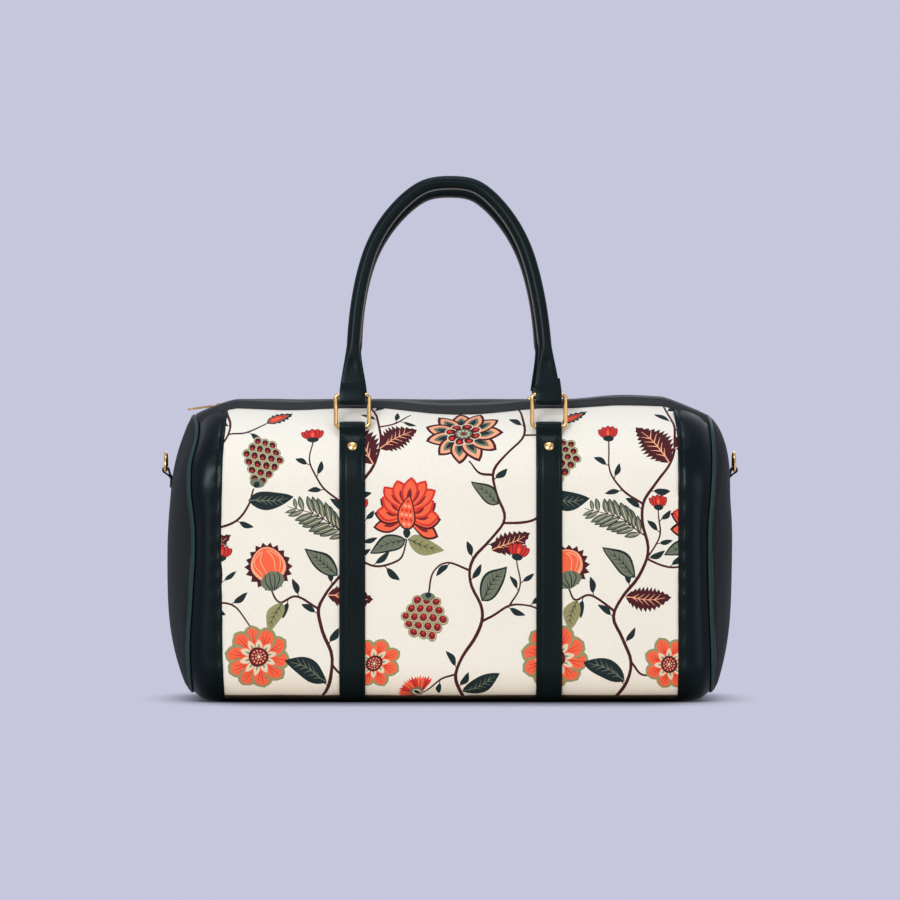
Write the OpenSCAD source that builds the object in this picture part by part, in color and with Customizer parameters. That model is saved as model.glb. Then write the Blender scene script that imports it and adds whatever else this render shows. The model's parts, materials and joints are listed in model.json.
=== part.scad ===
// Zip-top travel bag: printed canvas body, leather ends and straps, rolled handles on metal rings.
// X runs along the bag, -Y is its front, +Z is up. The bag stands on z = 0, centred on the origin.

/* [Body] */
// Length from end seam to end seam
body_length = 464; // [400:1:560]
// Depth from front face to back face
body_depth = 225; // [180:5:280]
// Height of the body above the straps that run under it
body_height = 267; // [220:1:320]
// Radius where the front and back roll over to the top
top_radius = 75; // [50:1:85]
// Radius where the front and back turn under to the base
base_radius = 28; // [15:1:40]
// Thickness of the canvas and leather walls
wall = 2; // [1.5:0.1:3]
// Width of the leather band at each end of the body
band_length = 28; // [24:1:45]
// How far the stuffed end panels bulge past the end seams
end_bulge = 23; // [10:1:40]
// Fullness of the end panels: 2 is a plain dome, more is flatter with fuller sides
bulge_power = 2.3; // [2:0.1:3]
// How far the top drops towards the end seams
end_drop = 15; // [4:0.5:18]
// Distance from the end seams where the top begins to drop
drop_length = 39; // [30:1:60]
// How far the base rises towards the end seams
end_rise = 8; // [2:0.5:14]
// How far the front and back draw in towards the end seams
end_inset = 8; // [2:0.5:14]
// Height of the fullest point of the end panels
bulge_height = 118; // [90:1:150]
// Radius of the piping cord in the end seams
piping_radius = 2.3; // [1.5:0.1:3.5]
// Angle on the top roll where the canvas meets the zip facing
facing_angle = 65; // [52:1:75]
// Angle on the bottom turn where the canvas meets the base
base_angle = 65; // [40:1:80]

/* [Inside] */
// Gap between the walls and the lining
lining_gap = 1.5; // [1.3:0.1:4]
// Thickness of the lining cloth
lining_thickness = 0.7; // [0.5:0.1:1.2]
// Gap between the ends of the loose base board and the leather bands
board_end_gap = 14; // [4:1:40]
// Gap between the sides of the loose base board and the bottom turns
board_side_gap = 6.5; // [2:0.5:20]
// Thickness of the loose board in the base
board_thickness = 2.5; // [1.5:0.5:4]

/* [Straps] */
// Width of the straps and of the handles' flat ends
strap_width = 23; // [18:0.5:30]
// Thickness of the straps
strap_thickness = 2.4; // [1.6:0.1:3.4]
// Distance between the middles of the two straps
strap_spacing = 175; // [140:1:220]
// Angle on the top roll where a strap loops over its ring
loop_angle = 39.5; // [35:0.5:50]
// Leather thickness of the loops round the rings
loop_wall = 2.2; // [1.6:0.1:3]
// Angle on the top roll of the rivet in each strap end
rivet_angle = 25.5; // [20:0.5:28]
// Diameter of the rivet heads
rivet_diameter = 10; // [7:0.5:12]
// Height of the rivet heads
rivet_rise = 1.8; // [1:0.1:2.2]
// Radius of the rivet shanks
rivet_shank = 1.5; // [1:0.1:2]

/* [Rings] */
// Wire thickness of the handle rings
ring_wire = 3.9; // [2.5:0.1:4.5]
// Distance between the lower and the upper bar of a handle ring
ring_height = 28; // [24:0.5:36]
// Corner radius of the handle rings, at the middle of the wire
ring_corner = 3; // [2.6:0.1:4.5]

/* [Handles] */
// Diameter of the rolled part of the handles
handle_diameter = 11.5; // [9:0.5:16]
// Rise of the handles from the ring to the top of their arch
handle_rise = 193; // [150:1:230]
// Length of the flat ends of the handles
tab_length = 13; // [10:1:30]
// Length over which the flat ends turn into the roll
tab_taper = 36; // [30:1:60]
// Thickness of the flat ends of the handles
tab_thickness = 4.8; // [3.6:0.1:5.5]
// How far the loops of the handles hang below the rings' upper bars
loop_hang = 5; // [0:0.5:8]
// Fullness of the handle arch: 2 is an ellipse, more is squarer
arch_power = 2.35; // [2:0.05:3]
// Angle by which the upright handles lean in over the bag
handle_lean = 8; // [0:1:12]

/* [Zip] */
// Width of the slot between the two zip facings
zip_gap = 15; // [14:0.5:20]
// Distance of the ends of the straight zip from the end seams
zip_margin = 14; // [12:1:28]
// How far each tape runs under its facing
tape_overlap = 9; // [6:0.5:14]
// Thickness of the zip tape
tape_thickness = 0.8; // [0.5:0.1:1]
// Distance from one tooth to the next
tooth_pitch = 4; // [3:0.1:6]
// Height of the teeth
tooth_height = 2; // [1.6:0.1:2.4]
// Length of the slider
slider_length = 15; // [12:0.5:18]
// Length of the puller from its pin to its tip
puller_length = 28; // [22:1:40]
// Width of the puller
puller_width = 8; // [6:0.5:11]
// Thickness of the puller
puller_thickness = 1.8; // [1.2:0.1:2.2]
// Angle by which the puller droops as it lies
puller_droop = 8; // [0:0.5:8]

/* [End rings] */
// Wire thickness of the D rings
d_wire = 3; // [2:0.1:3.6]
// Inner width of the D rings
d_width = 20; // [16:0.5:26]
// Length of the straight sides of the D rings
d_leg = 4; // [2:0.5:8]
// Height of the D ring bars above the floor
d_height = 207; // [195:1:212]
// Distance of the D ring bars out from the end panels
d_reach = 9; // [8:0.5:14]
// Thickness of each layer of the D ring tabs
d_tab_thickness = 1.9; // [1.4:0.1:2.4]
// Length of the sewn part of the D ring tabs
d_tab_length = 8; // [6:0.5:20]
// Distance from the D ring bars down to the sewn part of their tabs
d_tab_drop = 8; // [6.5:0.5:16]

/* [Hidden] */
// Gap between pieces that lie on each other
seat_gap = 0.2;
// Radial clearance of a metal bar in a leather loop
loop_play = 0.3;
// Sideways clearance of a loop between the corners of its ring
side_play = 0.3;
// Radial clearance of the puller on its pin
pin_play = 0.15;
// Largest turn between neighbouring points on the straight walls
fine_step = 6;
// Largest turn between neighbouring points on the shaped ends
coarse_step = 11;

leather = [0.075, 0.095, 0.1];
leather_green = [0.1, 0.15, 0.15];
canvas = [0.93, 0.9, 0.84];
cloth = [0.2, 0.2, 0.22];
gold = [0.83, 0.65, 0.34];
board_grey = [0.3, 0.3, 0.3];

half_length = body_length / 2;
half_depth = body_depth / 2;
// The straps under the base carry the body, so its underside is this far off the floor
lift = seat_gap + strap_thickness;
top_z = lift + body_height;
band_start = half_length - band_length;
zip_run = half_length - zip_margin;
drop_start = half_length - drop_length;
// Centre of the front roll over the top
roll_y = -(half_depth - top_radius);
roll_z = top_z - top_radius;

// Share of the taper reached at x, from 0 at start to 1 at the end seam
function taper(x, start, power) = pow(max(0, (abs(x) - start) / (half_length - start)), power);
function depth_at(x) = half_depth - end_inset * taper(x, band_start, 3);
function low_at(x) = lift + end_rise * taper(x, band_start, 3);
function high_at(x) = top_z - end_drop * taper(x, drop_start, 1.5);
// The straight zip lies in a hollow between the two rolls, as low as the top is at the zip's ends
zip_level = high_at(zip_run);
// Height of the top at a distance from its middle, sloping from the roll down to the zip's edge
function slope_at(x, distance) =
    let (high = high_at(x), low = min(high, zip_level), edge = zip_gap / 2)
    low + (high - low) * max(0, distance - edge) / (depth_at(x) - top_radius - edge);

// Angles from a to b in equal steps no larger than step
function sweep(a, b, step) = let (n = ceil(abs(b - a) / step)) [for (i = [0:n]) a + (b - a) * i / n];

// A place on the body's outline is [side, part, value]. Side is -1 for the front and 1 for the back.
// Part "roll" is the top roll and "turn" the bottom turn, with an angle from the horizontal.
// Part "flat" is the top between the rolls, with a distance from the middle.
function roll(side, a, b, step) = [for (t = sweep(a, b, step)) [side, "roll", t]];
function turn(side, a, b, step) = [for (t = sweep(a, b, step)) [side, "turn", t]];

// The [y, z] of a place on the outline at x, offset outwards
function outline(p, x, offset) =
    p[1] == "flat" ? [p[0] * p[2], slope_at(x, p[2]) + offset] :
    let (
        r = p[1] == "roll" ? top_radius : base_radius,
        z = p[1] == "roll" ? high_at(x) - r : low_at(x) + r
    )
    [p[0] * (depth_at(x) - r + (r + offset) * cos(p[2])), z + (r + offset) * sin(p[2])];

function reversed(list) = [for (i = [len(list) - 1:-1:0]) list[i]];

// The flat face that closes a strip of wall at x, as [y, z] points
function strip(profile, x, outer, inner) = concat(
    [for (p = profile) outline(p, x, outer)],
    [for (p = reversed(profile)) outline(p, x, inner)]
);

// Stands a [y, z] shape up and carries it along X
module along_x(length) {
    rotate([90, 0, 90]) linear_extrude(length, center = true) children();
}

module mirrored_x() { mirror([1, 0, 0]) children(); }
module mirrored_y() { mirror([0, 1, 0]) children(); }

// A wall that follows the profile through the stations along X, between two offsets
module shell(profile, stations, outer, inner) {
    n = len(profile);
    m = len(stations);
    function id(j, s, i) = (j * 2 + s) * n + i;
    points = [for (x = stations) for (o = [outer, inner]) for (p = profile)
        let (q = outline(p, x, o)) [x, q[0], q[1]]];
    skins = [for (j = [0:m - 2]) for (i = [0:n - 2]) for (f = [
        [id(j, 0, i), id(j, 0, i + 1), id(j + 1, 0, i + 1)],
        [id(j, 0, i), id(j + 1, 0, i + 1), id(j + 1, 0, i)],
        [id(j, 1, i), id(j + 1, 1, i + 1), id(j, 1, i + 1)],
        [id(j, 1, i), id(j + 1, 1, i), id(j + 1, 1, i + 1)]
    ]) f];
    edges = [for (j = [0:m - 2]) for (f = [
        [id(j, 0, 0), id(j + 1, 0, 0), id(j + 1, 1, 0)],
        [id(j, 0, 0), id(j + 1, 1, 0), id(j, 1, 0)],
        [id(j, 0, n - 1), id(j + 1, 1, n - 1), id(j + 1, 0, n - 1)],
        [id(j, 0, n - 1), id(j, 1, n - 1), id(j + 1, 1, n - 1)]
    ]) f];
    ends = [for (i = [0:n - 2]) for (f = [
        [id(0, 0, i), id(0, 1, i), id(0, 1, i + 1)],
        [id(0, 0, i), id(0, 1, i + 1), id(0, 0, i + 1)],
        [id(m - 1, 0, i), id(m - 1, 1, i + 1), id(m - 1, 1, i)],
        [id(m - 1, 0, i), id(m - 1, 0, i + 1), id(m - 1, 1, i + 1)]
    ]) f];
    polyhedron(points, concat(skins, edges, ends));
}

// Places along X where the walls bend: between the bands, and from a band to the end seam
zip_stop = half_length - piping_radius - seat_gap;
band_stations = [band_start, (band_start + zip_run) / 2, zip_run, (zip_run + zip_stop) / 2, zip_stop];
panel_bends = [drop_start, (drop_start + band_start) / 2];
function both_ways(list) = concat([for (x = reversed(list)) -x], list);

// Canvas panel of the front, from the base seam up to the zip facing
module front_panel() {
    profile = concat(roll(-1, facing_angle, 0, fine_step), turn(-1, 0, -base_angle, fine_step));
    color(canvas) difference() {
        shell(profile, both_ways(concat(panel_bends, [band_start])), 0, -wall);
        for (s = [-1, 1]) rivet_hole(s * strap_spacing / 2);
    }
}

module back_panel() { mirrored_y() front_panel(); }

// Leather base between the two canvas panels
module base_panel() {
    profile = concat(turn(-1, -base_angle, -90, fine_step), turn(1, -90, -base_angle, fine_step));
    color(leather) along_x(2 * band_start) polygon(strip(profile, 0, 0, -wall));
}

lining_offset = wall + lining_gap;

// Loose board that keeps the base flat, lying on the lining
module base_board() {
    size = [2 * (band_start - board_end_gap), 2 * (half_depth - base_radius - board_side_gap), board_thickness];
    color(board_grey)
    translate([0, 0, lift + lining_offset + lining_thickness + seat_gap + board_thickness / 2])
        cube(size, center = true);
}

// The whole outline from the front zip edge, round the base, to the back zip edge
function round_profile(edge, step) = concat(
    [[-1, "flat", edge]], roll(-1, 90, 0, step), turn(-1, 0, -90, step),
    turn(1, -90, 0, step), roll(1, 0, 90, step), [[1, "flat", edge]]
);

// Cloth lining: a straight wall that fits the low ends, open under the zip, and a flat sheet at each end
module lining() {
    end_x = band_start + band_length / 4;
    edge = zip_gap / 2 + 2;
    profile = round_profile(edge, coarse_step);
    // The end sheets dip in the middle, so that the slider passes over them
    dip_z = chain_z - channel / 2 - plate - 4 * seat_gap;
    color(cloth) union() {
        along_x(2 * end_x) polygon(strip(profile, end_x, -lining_offset, -lining_offset - lining_thickness));
        for (s = [-1, 1]) translate([s * (end_x - lining_thickness), 0, 0]) along_x(lining_thickness)
            polygon(concat(
                [for (p = profile) outline(p, end_x, -lining_offset - lining_thickness / 2)],
                [[edge, dip_z], [-edge, dip_z]]
            ));
    }
}

// Leather band round the body beside the end seam
module right_band() {
    profile = concat(
        roll(-1, facing_angle, 0, coarse_step), turn(-1, 0, -90, coarse_step),
        turn(1, -90, 0, coarse_step), roll(1, 0, facing_angle, coarse_step)
    );
    color(leather) shell(profile, band_stations, 0, -wall);
}

module left_band() { mirrored_x() right_band(); }

end_profile = round_profile(zip_gap / 2, coarse_step);
rim_x = half_length + piping_radius + seat_gap;

// Bulge of an end panel at a share of the way out from its middle to its rim
function bulge(share) = 1 - pow(share, bulge_power);
// Middle of an end panel, and the radius of the circles that its contours draw in to near the middle
end_middle = [0, bulge_height];
end_radius = high_at(half_length) - bulge_height;
// A point of an end panel on the way from its middle to a rim point, from the rim's shape to a circle's
function end_point(rim, share) =
    let (d = rim - end_middle)
    end_middle + d * share * (share + (1 - share) * end_radius / norm(d));

// A closed list of points with more points along the sides that are longer than gap in the reference list
function filled(list, reference, gap) = [for (i = [0:len(list) - 1])
    let (
        j = (i + 1) % len(list),
        n = ceil(norm(reference[j] - reference[i]) / gap)
    )
    for (k = [0:n - 1]) list[i] + (list[j] - list[i]) * k / n];

// Stuffed end panel: a dome on the end outline
module right_end_panel() {
    shares = [1, 0.92, 0.78, 0.58, 0.32];
    outer_rim = [for (p = end_profile) outline(p, half_length, 0)];
    inner_rim = [for (p = end_profile) outline(p, half_length, -wall)];
    rims = [for (r = [outer_rim, inner_rim]) filled(r, outer_rim, 32)];
    n = len(rims[0]);
    m = len(shares);
    function id(s, j, i) = s * (m * n + 1) + j * n + i % n;
    function tip(s) = s * (m * n + 1) + m * n;
    points = [for (s = [0, 1]) each concat(
        [for (f = shares) for (r = rims[s])
            let (q = end_point(r, f))
            [rim_x + (end_bulge - s * wall) * bulge(f), q[0], q[1]]],
        [[rim_x + end_bulge - s * wall, end_middle[0], end_middle[1]]]
    )];
    skins = [for (j = [0:m - 2]) for (i = [0:n - 1]) for (f = [
        [id(0, j, i), id(0, j + 1, i + 1), id(0, j + 1, i)],
        [id(0, j, i), id(0, j, i + 1), id(0, j + 1, i + 1)],
        [id(1, j, i), id(1, j + 1, i), id(1, j + 1, i + 1)],
        [id(1, j, i), id(1, j + 1, i + 1), id(1, j, i + 1)]
    ]) f];
    crown = [for (i = [0:n - 1]) for (f = [
        [id(0, m - 1, i), id(0, m - 1, i + 1), tip(0)],
        [id(1, m - 1, i), tip(1), id(1, m - 1, i + 1)],
        [id(0, 0, i), id(1, 0, i), id(1, 0, i + 1)],
        [id(0, 0, i), id(1, 0, i + 1), id(0, 0, i + 1)]
    ]) f];
    color(leather) polyhedron(points, concat(skins, crown));
}

module left_end_panel() { mirrored_x() right_end_panel(); }

// Piping cord in the end seam: a round tube on the end outline
module right_piping() {
    sides = 8;
    n = len(end_profile);
    function id(i, k) = (i % n) * sides + k % sides;
    points = [for (p = end_profile) for (k = [0:sides - 1])
        let (
            a = 360 * (k + 0.5) / sides,
            q = outline(p, half_length, piping_radius * cos(a))
        )
        [half_length + piping_radius * sin(a), q[0], q[1]]];
    faces = [for (i = [0:n - 1]) for (k = [0:sides - 1]) for (f = [
        [id(i, k), id(i + 1, k), id(i + 1, k + 1)],
        [id(i, k), id(i + 1, k + 1), id(i, k + 1)]
    ]) f];
    color(leather_green) polyhedron(points, faces);
}

module left_piping() { mirrored_x() right_piping(); }

zip_stations = both_ways(concat(panel_bends, band_stations));

// Leather facing between the canvas and the zip
module front_zip_facing() {
    profile = concat([[-1, "flat", zip_gap / 2]], roll(-1, 90, facing_angle, fine_step));
    color(leather) shell(profile, zip_stations, 0, -wall);
}

module back_zip_facing() { mirrored_y() front_zip_facing(); }

// Zip chain: teeth in two rows with a slit between them for the slider's post
chain_slit = 0.75;
tooth_reach = 2.4;
chain_spine = 1;
chain_half = chain_slit + tooth_reach + chain_spine;
chain_z = zip_level - wall - seat_gap - tape_thickness / 2;
stop_length = 2.4;

module front_zip_tape() {
    profile = [for (d = [chain_half + seat_gap / 2, zip_gap / 2, zip_gap / 2 + tape_overlap]) [-1, "flat", d]];
    color(cloth) shell(profile, zip_stations, -wall - seat_gap, -wall - seat_gap - tape_thickness);
}

module back_zip_tape() { mirrored_y() front_zip_tape(); }

// A row of teeth as a comb: the spine sits on the tape's edge and the teeth point to the middle
module zip_row(phase) {
    length = 2 * zip_run - 2 * stop_length;
    count = floor(length / tooth_pitch - 0.5);
    root_y = -chain_slit - tooth_reach;
    start = -count * tooth_pitch / 2 + phase * tooth_pitch;
    teeth = [for (i = [0:count - 1]) each [
        [start + (i + 0.2) * tooth_pitch, root_y], [start + (i + 0.3) * tooth_pitch, -chain_slit],
        [start + (i + 0.7) * tooth_pitch, -chain_slit], [start + (i + 0.8) * tooth_pitch, root_y]
    ]];
    translate([0, 0, chain_z]) linear_extrude(tooth_height, center = true)
        polygon(concat(
            [[-length / 2, -chain_half], [-length / 2, root_y]], teeth,
            [[length / 2, root_y], [length / 2, -chain_half]]
        ));
}

module front_zip_teeth() { color(gold) zip_row(0.1); }
module back_zip_teeth() { color(gold) mirrored_y() zip_row(-0.1); }

// Two top stops at the closed end and one bottom stop across the other end
module zip_stops() {
    stop_x = zip_run - stop_length / 2 + seat_gap / 2;
    size = [stop_length - seat_gap, chain_half - chain_slit, tooth_height];
    color(gold) {
        for (s = [-1, 1]) translate([-stop_x, s * (chain_half + chain_slit) / 2, chain_z]) cube(size, center = true);
        translate([stop_x, 0, chain_z]) cube([size[0], 2 * chain_half, tooth_height], center = true);
    }
}

plate = 1.2;
rail = 1.1;
channel = tooth_height + 0.6;
slot_height = tape_thickness + 0.8;
slider_half = chain_half + 0.3 + rail;
slider_x = -(zip_run - stop_length - seat_gap - slider_length / 2);
plate_top = chain_z + channel / 2 + plate;
pin_radius = 0.9;
pin_rise = 4;
pin_z = plate_top + pin_rise;
eye_radius = 2.2;
eye_length = 2.6;
// The pin stands over the wide end of the slider
pin_x = slider_x - slider_length / 2 + 5;

// Slider: two plates with turned-in edges, a post between them, and ears that hold the puller's pin
module zip_slider() {
    l = slider_length / 2;
    w = slider_half;
    shape = [[-l, -w + 1.6], [-l + 2, -w], [l - 4, -w], [l, -w + 1], [l, w - 1], [l - 4, w],
        [-l + 2, w], [-l, w - 1.6], [-l + 1.4, 0]];
    rail_height = (channel - slot_height) / 2 + plate / 2;
    post = [3, 2 * chain_slit - 0.5, channel + plate];
    ear = [4.4, 1.3, pin_rise + plate / 2];
    color(gold) union() {
        translate([slider_x, 0, chain_z]) {
            for (s = [-1, 1]) {
                translate([0, 0, s * (channel + plate) / 2]) linear_extrude(plate, center = true) polygon(shape);
                for (t = [-1, 1]) translate([-1, t * (w - rail / 2), s * (slot_height + rail_height) / 2])
                    cube([slider_length - 6, rail, rail_height], center = true);
            }
            translate([-l + 1.6 + post[0] / 2, 0, 0]) cube(post, center = true);
        }
        for (s = [-1, 1]) translate([pin_x, s * (eye_length + 0.4 + ear[1]) / 2, 0]) {
            translate([0, 0, plate_top - plate / 2 + ear[2] / 2]) cube(ear, center = true);
            translate([0, 0, pin_z]) rotate([90, 0, 0]) cylinder(r = ear[0] / 2, h = ear[1], center = true, $fn = 40);
        }
        translate([pin_x, 0, pin_z]) rotate([90, 0, 0])
            cylinder(r = pin_radius, h = eye_length + 1.5, center = true, $fn = 32);
    }
}

// Puller: an eye round the pin and a flat paddle with a hole near its tip
module zip_puller() {
    tip = puller_length - puller_width / 2;
    neck = eye_radius + 3;
    color(gold) translate([pin_x, 0, pin_z]) rotate([0, -puller_droop, 0]) difference() {
        union() {
            rotate([90, 0, 0]) cylinder(r = eye_radius, h = eye_length, center = true, $fn = 40);
            linear_extrude(puller_thickness, center = true) {
                polygon([[0, -eye_length / 2], [0, eye_length / 2], [-neck, eye_length / 2],
                    [-tip, puller_width / 2], [-tip, -puller_width / 2], [-neck, -eye_length / 2]]);
                translate([-tip, 0]) circle(d = puller_width, $fn = 48);
            }
        }
        rotate([90, 0, 0]) cylinder(r = pin_radius + pin_play, h = 2 * eye_length, center = true, $fn = 32);
        translate([-tip, 0, 0]) cylinder(d = puller_width * 0.45, h = 4 * puller_thickness, center = true, $fn = 32);
    }
}

// Loops: leather turned round a bar of the ring
bar_radius = ring_wire / 2;
loop_bore = bar_radius + loop_play;
loop_radius = loop_bore + loop_wall;
loop_lead = 0.4;
loop_reach = top_radius + seat_gap + loop_lead + loop_radius;
ring_y = roll_y - loop_reach * cos(loop_angle);
ring_z = roll_z + loop_reach * sin(loop_angle);

// Strap from the front ring down the front, under the base and up the back to the back ring
module strap_at(x) {
    profile = concat(
        roll(-1, loop_angle, 0, fine_step), turn(-1, 0, -90, fine_step),
        turn(1, -90, 0, fine_step), roll(1, 0, loop_angle, fine_step)
    );
    color(leather) difference() {
        translate([x, 0, 0]) along_x(strap_width) difference() {
            union() {
                polygon(strip(profile, 0, lift, seat_gap));
                for (s = [-1, 1]) translate([-s * ring_y, ring_z]) circle(r = loop_radius, $fn = 64);
            }
            for (s = [-1, 1]) translate([-s * ring_y, ring_z]) circle(r = loop_bore, $fn = 64);
        }
        rivet_hole(x);
        mirrored_y() rivet_hole(x);
    }
}

module left_strap() { strap_at(-strap_spacing / 2); }
module right_strap() { strap_at(strap_spacing / 2); }

// Axis of a front rivet, square to the strap, with its seat on the strap's face at z = 0
module at_rivet(x) {
    translate([x, roll_y, roll_z]) rotate([90 - rivet_angle, 0, 0])
        translate([0, 0, top_radius + lift]) children();
}

module rivet_hole(x) {
    at_rivet(x) cylinder(r = rivet_shank + 0.1, h = 6 * (wall + lift), center = true, $fn = 32);
}

// Rivet: domed head, shank through strap and canvas, and a thin cap inside
module rivet(x) {
    dome = (pow(rivet_diameter / 2, 2) + pow(rivet_rise, 2)) / (2 * rivet_rise);
    cap = 0.8;
    depth = lift + wall + seat_gap;
    at_rivet(x) union() {
        translate([0, 0, seat_gap / 2]) intersection() {
            translate([0, 0, rivet_rise - dome]) sphere(r = dome, $fn = 96);
            cylinder(d = rivet_diameter, h = rivet_rise + 1, $fn = 64);
        }
        translate([0, 0, -depth - cap / 2]) cylinder(r = rivet_shank, h = depth + cap / 2 + 0.6, $fn = 32);
        translate([0, 0, -depth - cap]) cylinder(d = rivet_diameter * 0.75, h = cap, $fn = 48);
    }
}

module strap_rivets() {
    color(gold) for (x = [-strap_spacing / 2, strap_spacing / 2]) {
        rivet(x);
        mirrored_y() rivet(x);
    }
}

// Ring of round wire: two bars, two sides and four bent corners; the lower bar lies on the X axis
module ring() {
    half = strap_width / 2 + side_play + ring_corner;
    bar = 2 * (half - ring_corner);
    side = ring_height - 2 * ring_corner;
    for (z = [0, ring_height]) translate([0, 0, z]) rotate([0, 90, 0])
        cylinder(r = bar_radius, h = bar, center = true, $fn = 48);
    for (s = [-1, 1]) translate([s * half, 0, ring_height / 2]) cylinder(r = bar_radius, h = side, center = true, $fn = 48);
    for (s = [-1, 1], t = [0, 1])
        translate([s * (half - ring_corner), 0, t * ring_height + (1 - 2 * t) * ring_corner])
        rotate([90, 0, 0]) rotate([0, 0, s == 1 ? (t == 1 ? 0 : -90) : (t == 1 ? 90 : 180)])
        rotate_extrude(angle = 90, $fn = 64) translate([ring_corner, 0]) circle(r = bar_radius, $fn = 48);
}

module front_ring(x) { color(gold) translate([x, ring_y, ring_z]) ring(); }

module front_left_ring() { front_ring(-strap_spacing / 2); }
module front_right_ring() { front_ring(strap_spacing / 2); }
module back_left_ring() { mirrored_y() front_left_ring(); }
module back_right_ring() { mirrored_y() front_right_ring(); }

function spow(v, e) = sign(v) * pow(abs(v), e);
function blend(a, b, k) = a + (b - a) * k;
function smooth(k) = let (c = min(1, max(0, k))) c * c * (3 - 2 * c);

// Middle of the handle's arch at an angle from 0 at the left foot to 180 at the right foot, as [x, z] over the bars
function arch(t) = [
    -strap_spacing / 2 * spow(cos(t), 2 / arch_power),
    tab_length + (handle_rise - tab_length) * pow(max(0, sin(t)), 2 / arch_power)
];

// Long round shape of a handle's loop or of its bore, hanging down from the bar
module handle_loop(side, radius, length) {
    hull() for (z = [0, -loop_hang]) translate([side * strap_spacing / 2, 0, z]) rotate([0, 90, 0])
        cylinder(r = radius, h = length, center = true, $fn = 64);
}

// Handle: flat ends looped on the rings' upper bars, drawn in to a roll over the arch
module front_handle() {
    sides = 12;
    foot = loop_bore + loop_wall / 2;
    angles = [for (i = [0:38]) i * 180 / 38];
    low = [foot, (foot + tab_length) / 2];
    middles = concat(
        [for (z = low) [-strap_spacing / 2, z, 90]],
        [for (t = angles)
            let (d = arch(min(180, t + 0.5)) - arch(max(0, t - 0.5)))
            [arch(t)[0], arch(t)[1], t == 0 ? 90 : t == 180 ? -90 : atan2(d[1], d[0])]],
        [for (z = reversed(low)) [strap_spacing / 2, z, -90]]
    );
    n = len(middles);
    points = [for (c = middles) for (k = [0:sides - 1])
        let (
            a = 360 * k / sides,
            rolled = smooth((c[1] - tab_length) / tab_taper),
            power = 2 / blend(6, 2, rolled),
            across = blend(strap_width, handle_diameter, rolled) / 2 * spow(cos(a), power),
            out = blend(tab_thickness, handle_diameter, rolled) / 2 * spow(sin(a), power)
        )
        [c[0] + across * sin(c[2]), out, c[1] - across * cos(c[2])]];
    faces = [for (j = [0:n - 2]) for (k = [0:sides - 1]) let (l = (k + 1) % sides) for (f = [
        [j * sides + k, (j + 1) * sides + k, (j + 1) * sides + l],
        [j * sides + k, (j + 1) * sides + l, j * sides + l]
    ]) f];
    caps = [[for (k = [0:sides - 1]) k], [for (k = [sides - 1:-1:0]) (n - 1) * sides + k]];
    color(leather) translate([0, ring_y, ring_z + ring_height]) rotate([-handle_lean, 0, 0]) difference() {
        union() {
            polyhedron(points, concat(faces, caps));
            for (s = [-1, 1]) handle_loop(s, loop_radius, strap_width + side_play);
        }
        for (s = [-1, 1]) handle_loop(s, loop_bore, strap_width + 4);
    }
}

module back_handle() { mirrored_y() front_handle(); }

// Face of the right end panel in its middle plane, at a height z above its fullest point
function end_face(z) = rim_x + end_bulge * bulge((z - bulge_height) / end_radius);

d_x = end_face(d_height) + d_reach;
d_bore = d_wire / 2 + loop_play;
d_loop = d_bore + d_tab_thickness;
d_tab_width = d_width - 2;

// Leather tab sewn to the end panel and folded round the D ring's bar
module right_d_tab() {
    sewn = [for (i = [0:3]) d_height - d_tab_drop - d_tab_length * i / 3];
    inner = [for (z = sewn) [end_face(z) + 2 * seat_gap, z]];
    outer = [for (z = reversed(sewn)) [end_face(z) + 2 * seat_gap + 2 * d_tab_thickness, z]];
    lean = 25;
    reach = d_loop - 0.1;
    fold = [[d_x + reach * cos(lean), d_height - reach * sin(lean)],
        [d_x - reach * cos(lean), d_height + reach * sin(lean)]];
    color(leather) rotate([90, 0, 0]) linear_extrude(d_tab_width, center = true) difference() {
        union() {
            polygon(concat(inner, outer, fold));
            translate([d_x, d_height]) circle(r = d_loop, $fn = 56);
        }
        translate([d_x, d_height]) circle(r = d_bore, $fn = 48);
    }
}

module left_d_tab() { mirrored_x() right_d_tab(); }

// D ring: a straight bar, two short sides and a half round bow of one wire, standing up from its tab
module right_d_ring() {
    bow = (d_width + d_wire) / 2;
    color(gold) translate([d_x, 0, d_height]) {
        rotate([90, 0, 0]) cylinder(d = d_wire, h = 2 * bow, center = true, $fn = 48);
        for (s = [-1, 1]) translate([0, s * bow, 0]) {
            sphere(d = d_wire, $fn = 48);
            cylinder(d = d_wire, h = d_leg, $fn = 48);
        }
        translate([0, 0, d_leg]) rotate([90, 0, 90]) rotate_extrude(angle = 180, $fn = 96)
            translate([bow, 0]) circle(d = d_wire, $fn = 48);
    }
}

module left_d_ring() { mirrored_x() right_d_ring(); }

front_panel();
back_panel();
base_panel();
base_board();
lining();
left_band();
right_band();
left_end_panel();
right_end_panel();
left_piping();
right_piping();
front_zip_facing();
back_zip_facing();
front_zip_tape();
back_zip_tape();
front_zip_teeth();
back_zip_teeth();
zip_stops();
zip_slider();
zip_puller();
left_strap();
right_strap();
strap_rivets();
front_left_ring();
front_right_ring();
back_left_ring();
back_right_ring();
front_handle();
back_handle();
left_d_tab();
right_d_tab();
left_d_ring();
right_d_ring();
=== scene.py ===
# %% [markdown]
# # A zip-top travel bag in printed canvas
# The bag is a soft box on two straps: printed canvas at the front and back, dark leather round it, rolled
# handles on metal rings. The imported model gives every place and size. This lesson makes the soft pieces
# as surfaces worked out with numpy, so that each of them lies exactly where its stiff stand-in was.

# %% Load the frame
import json
import bmesh
import bpy
import numpy as np
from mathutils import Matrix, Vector
from mathutils.geometry import delaunay_2d_cdt


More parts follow.
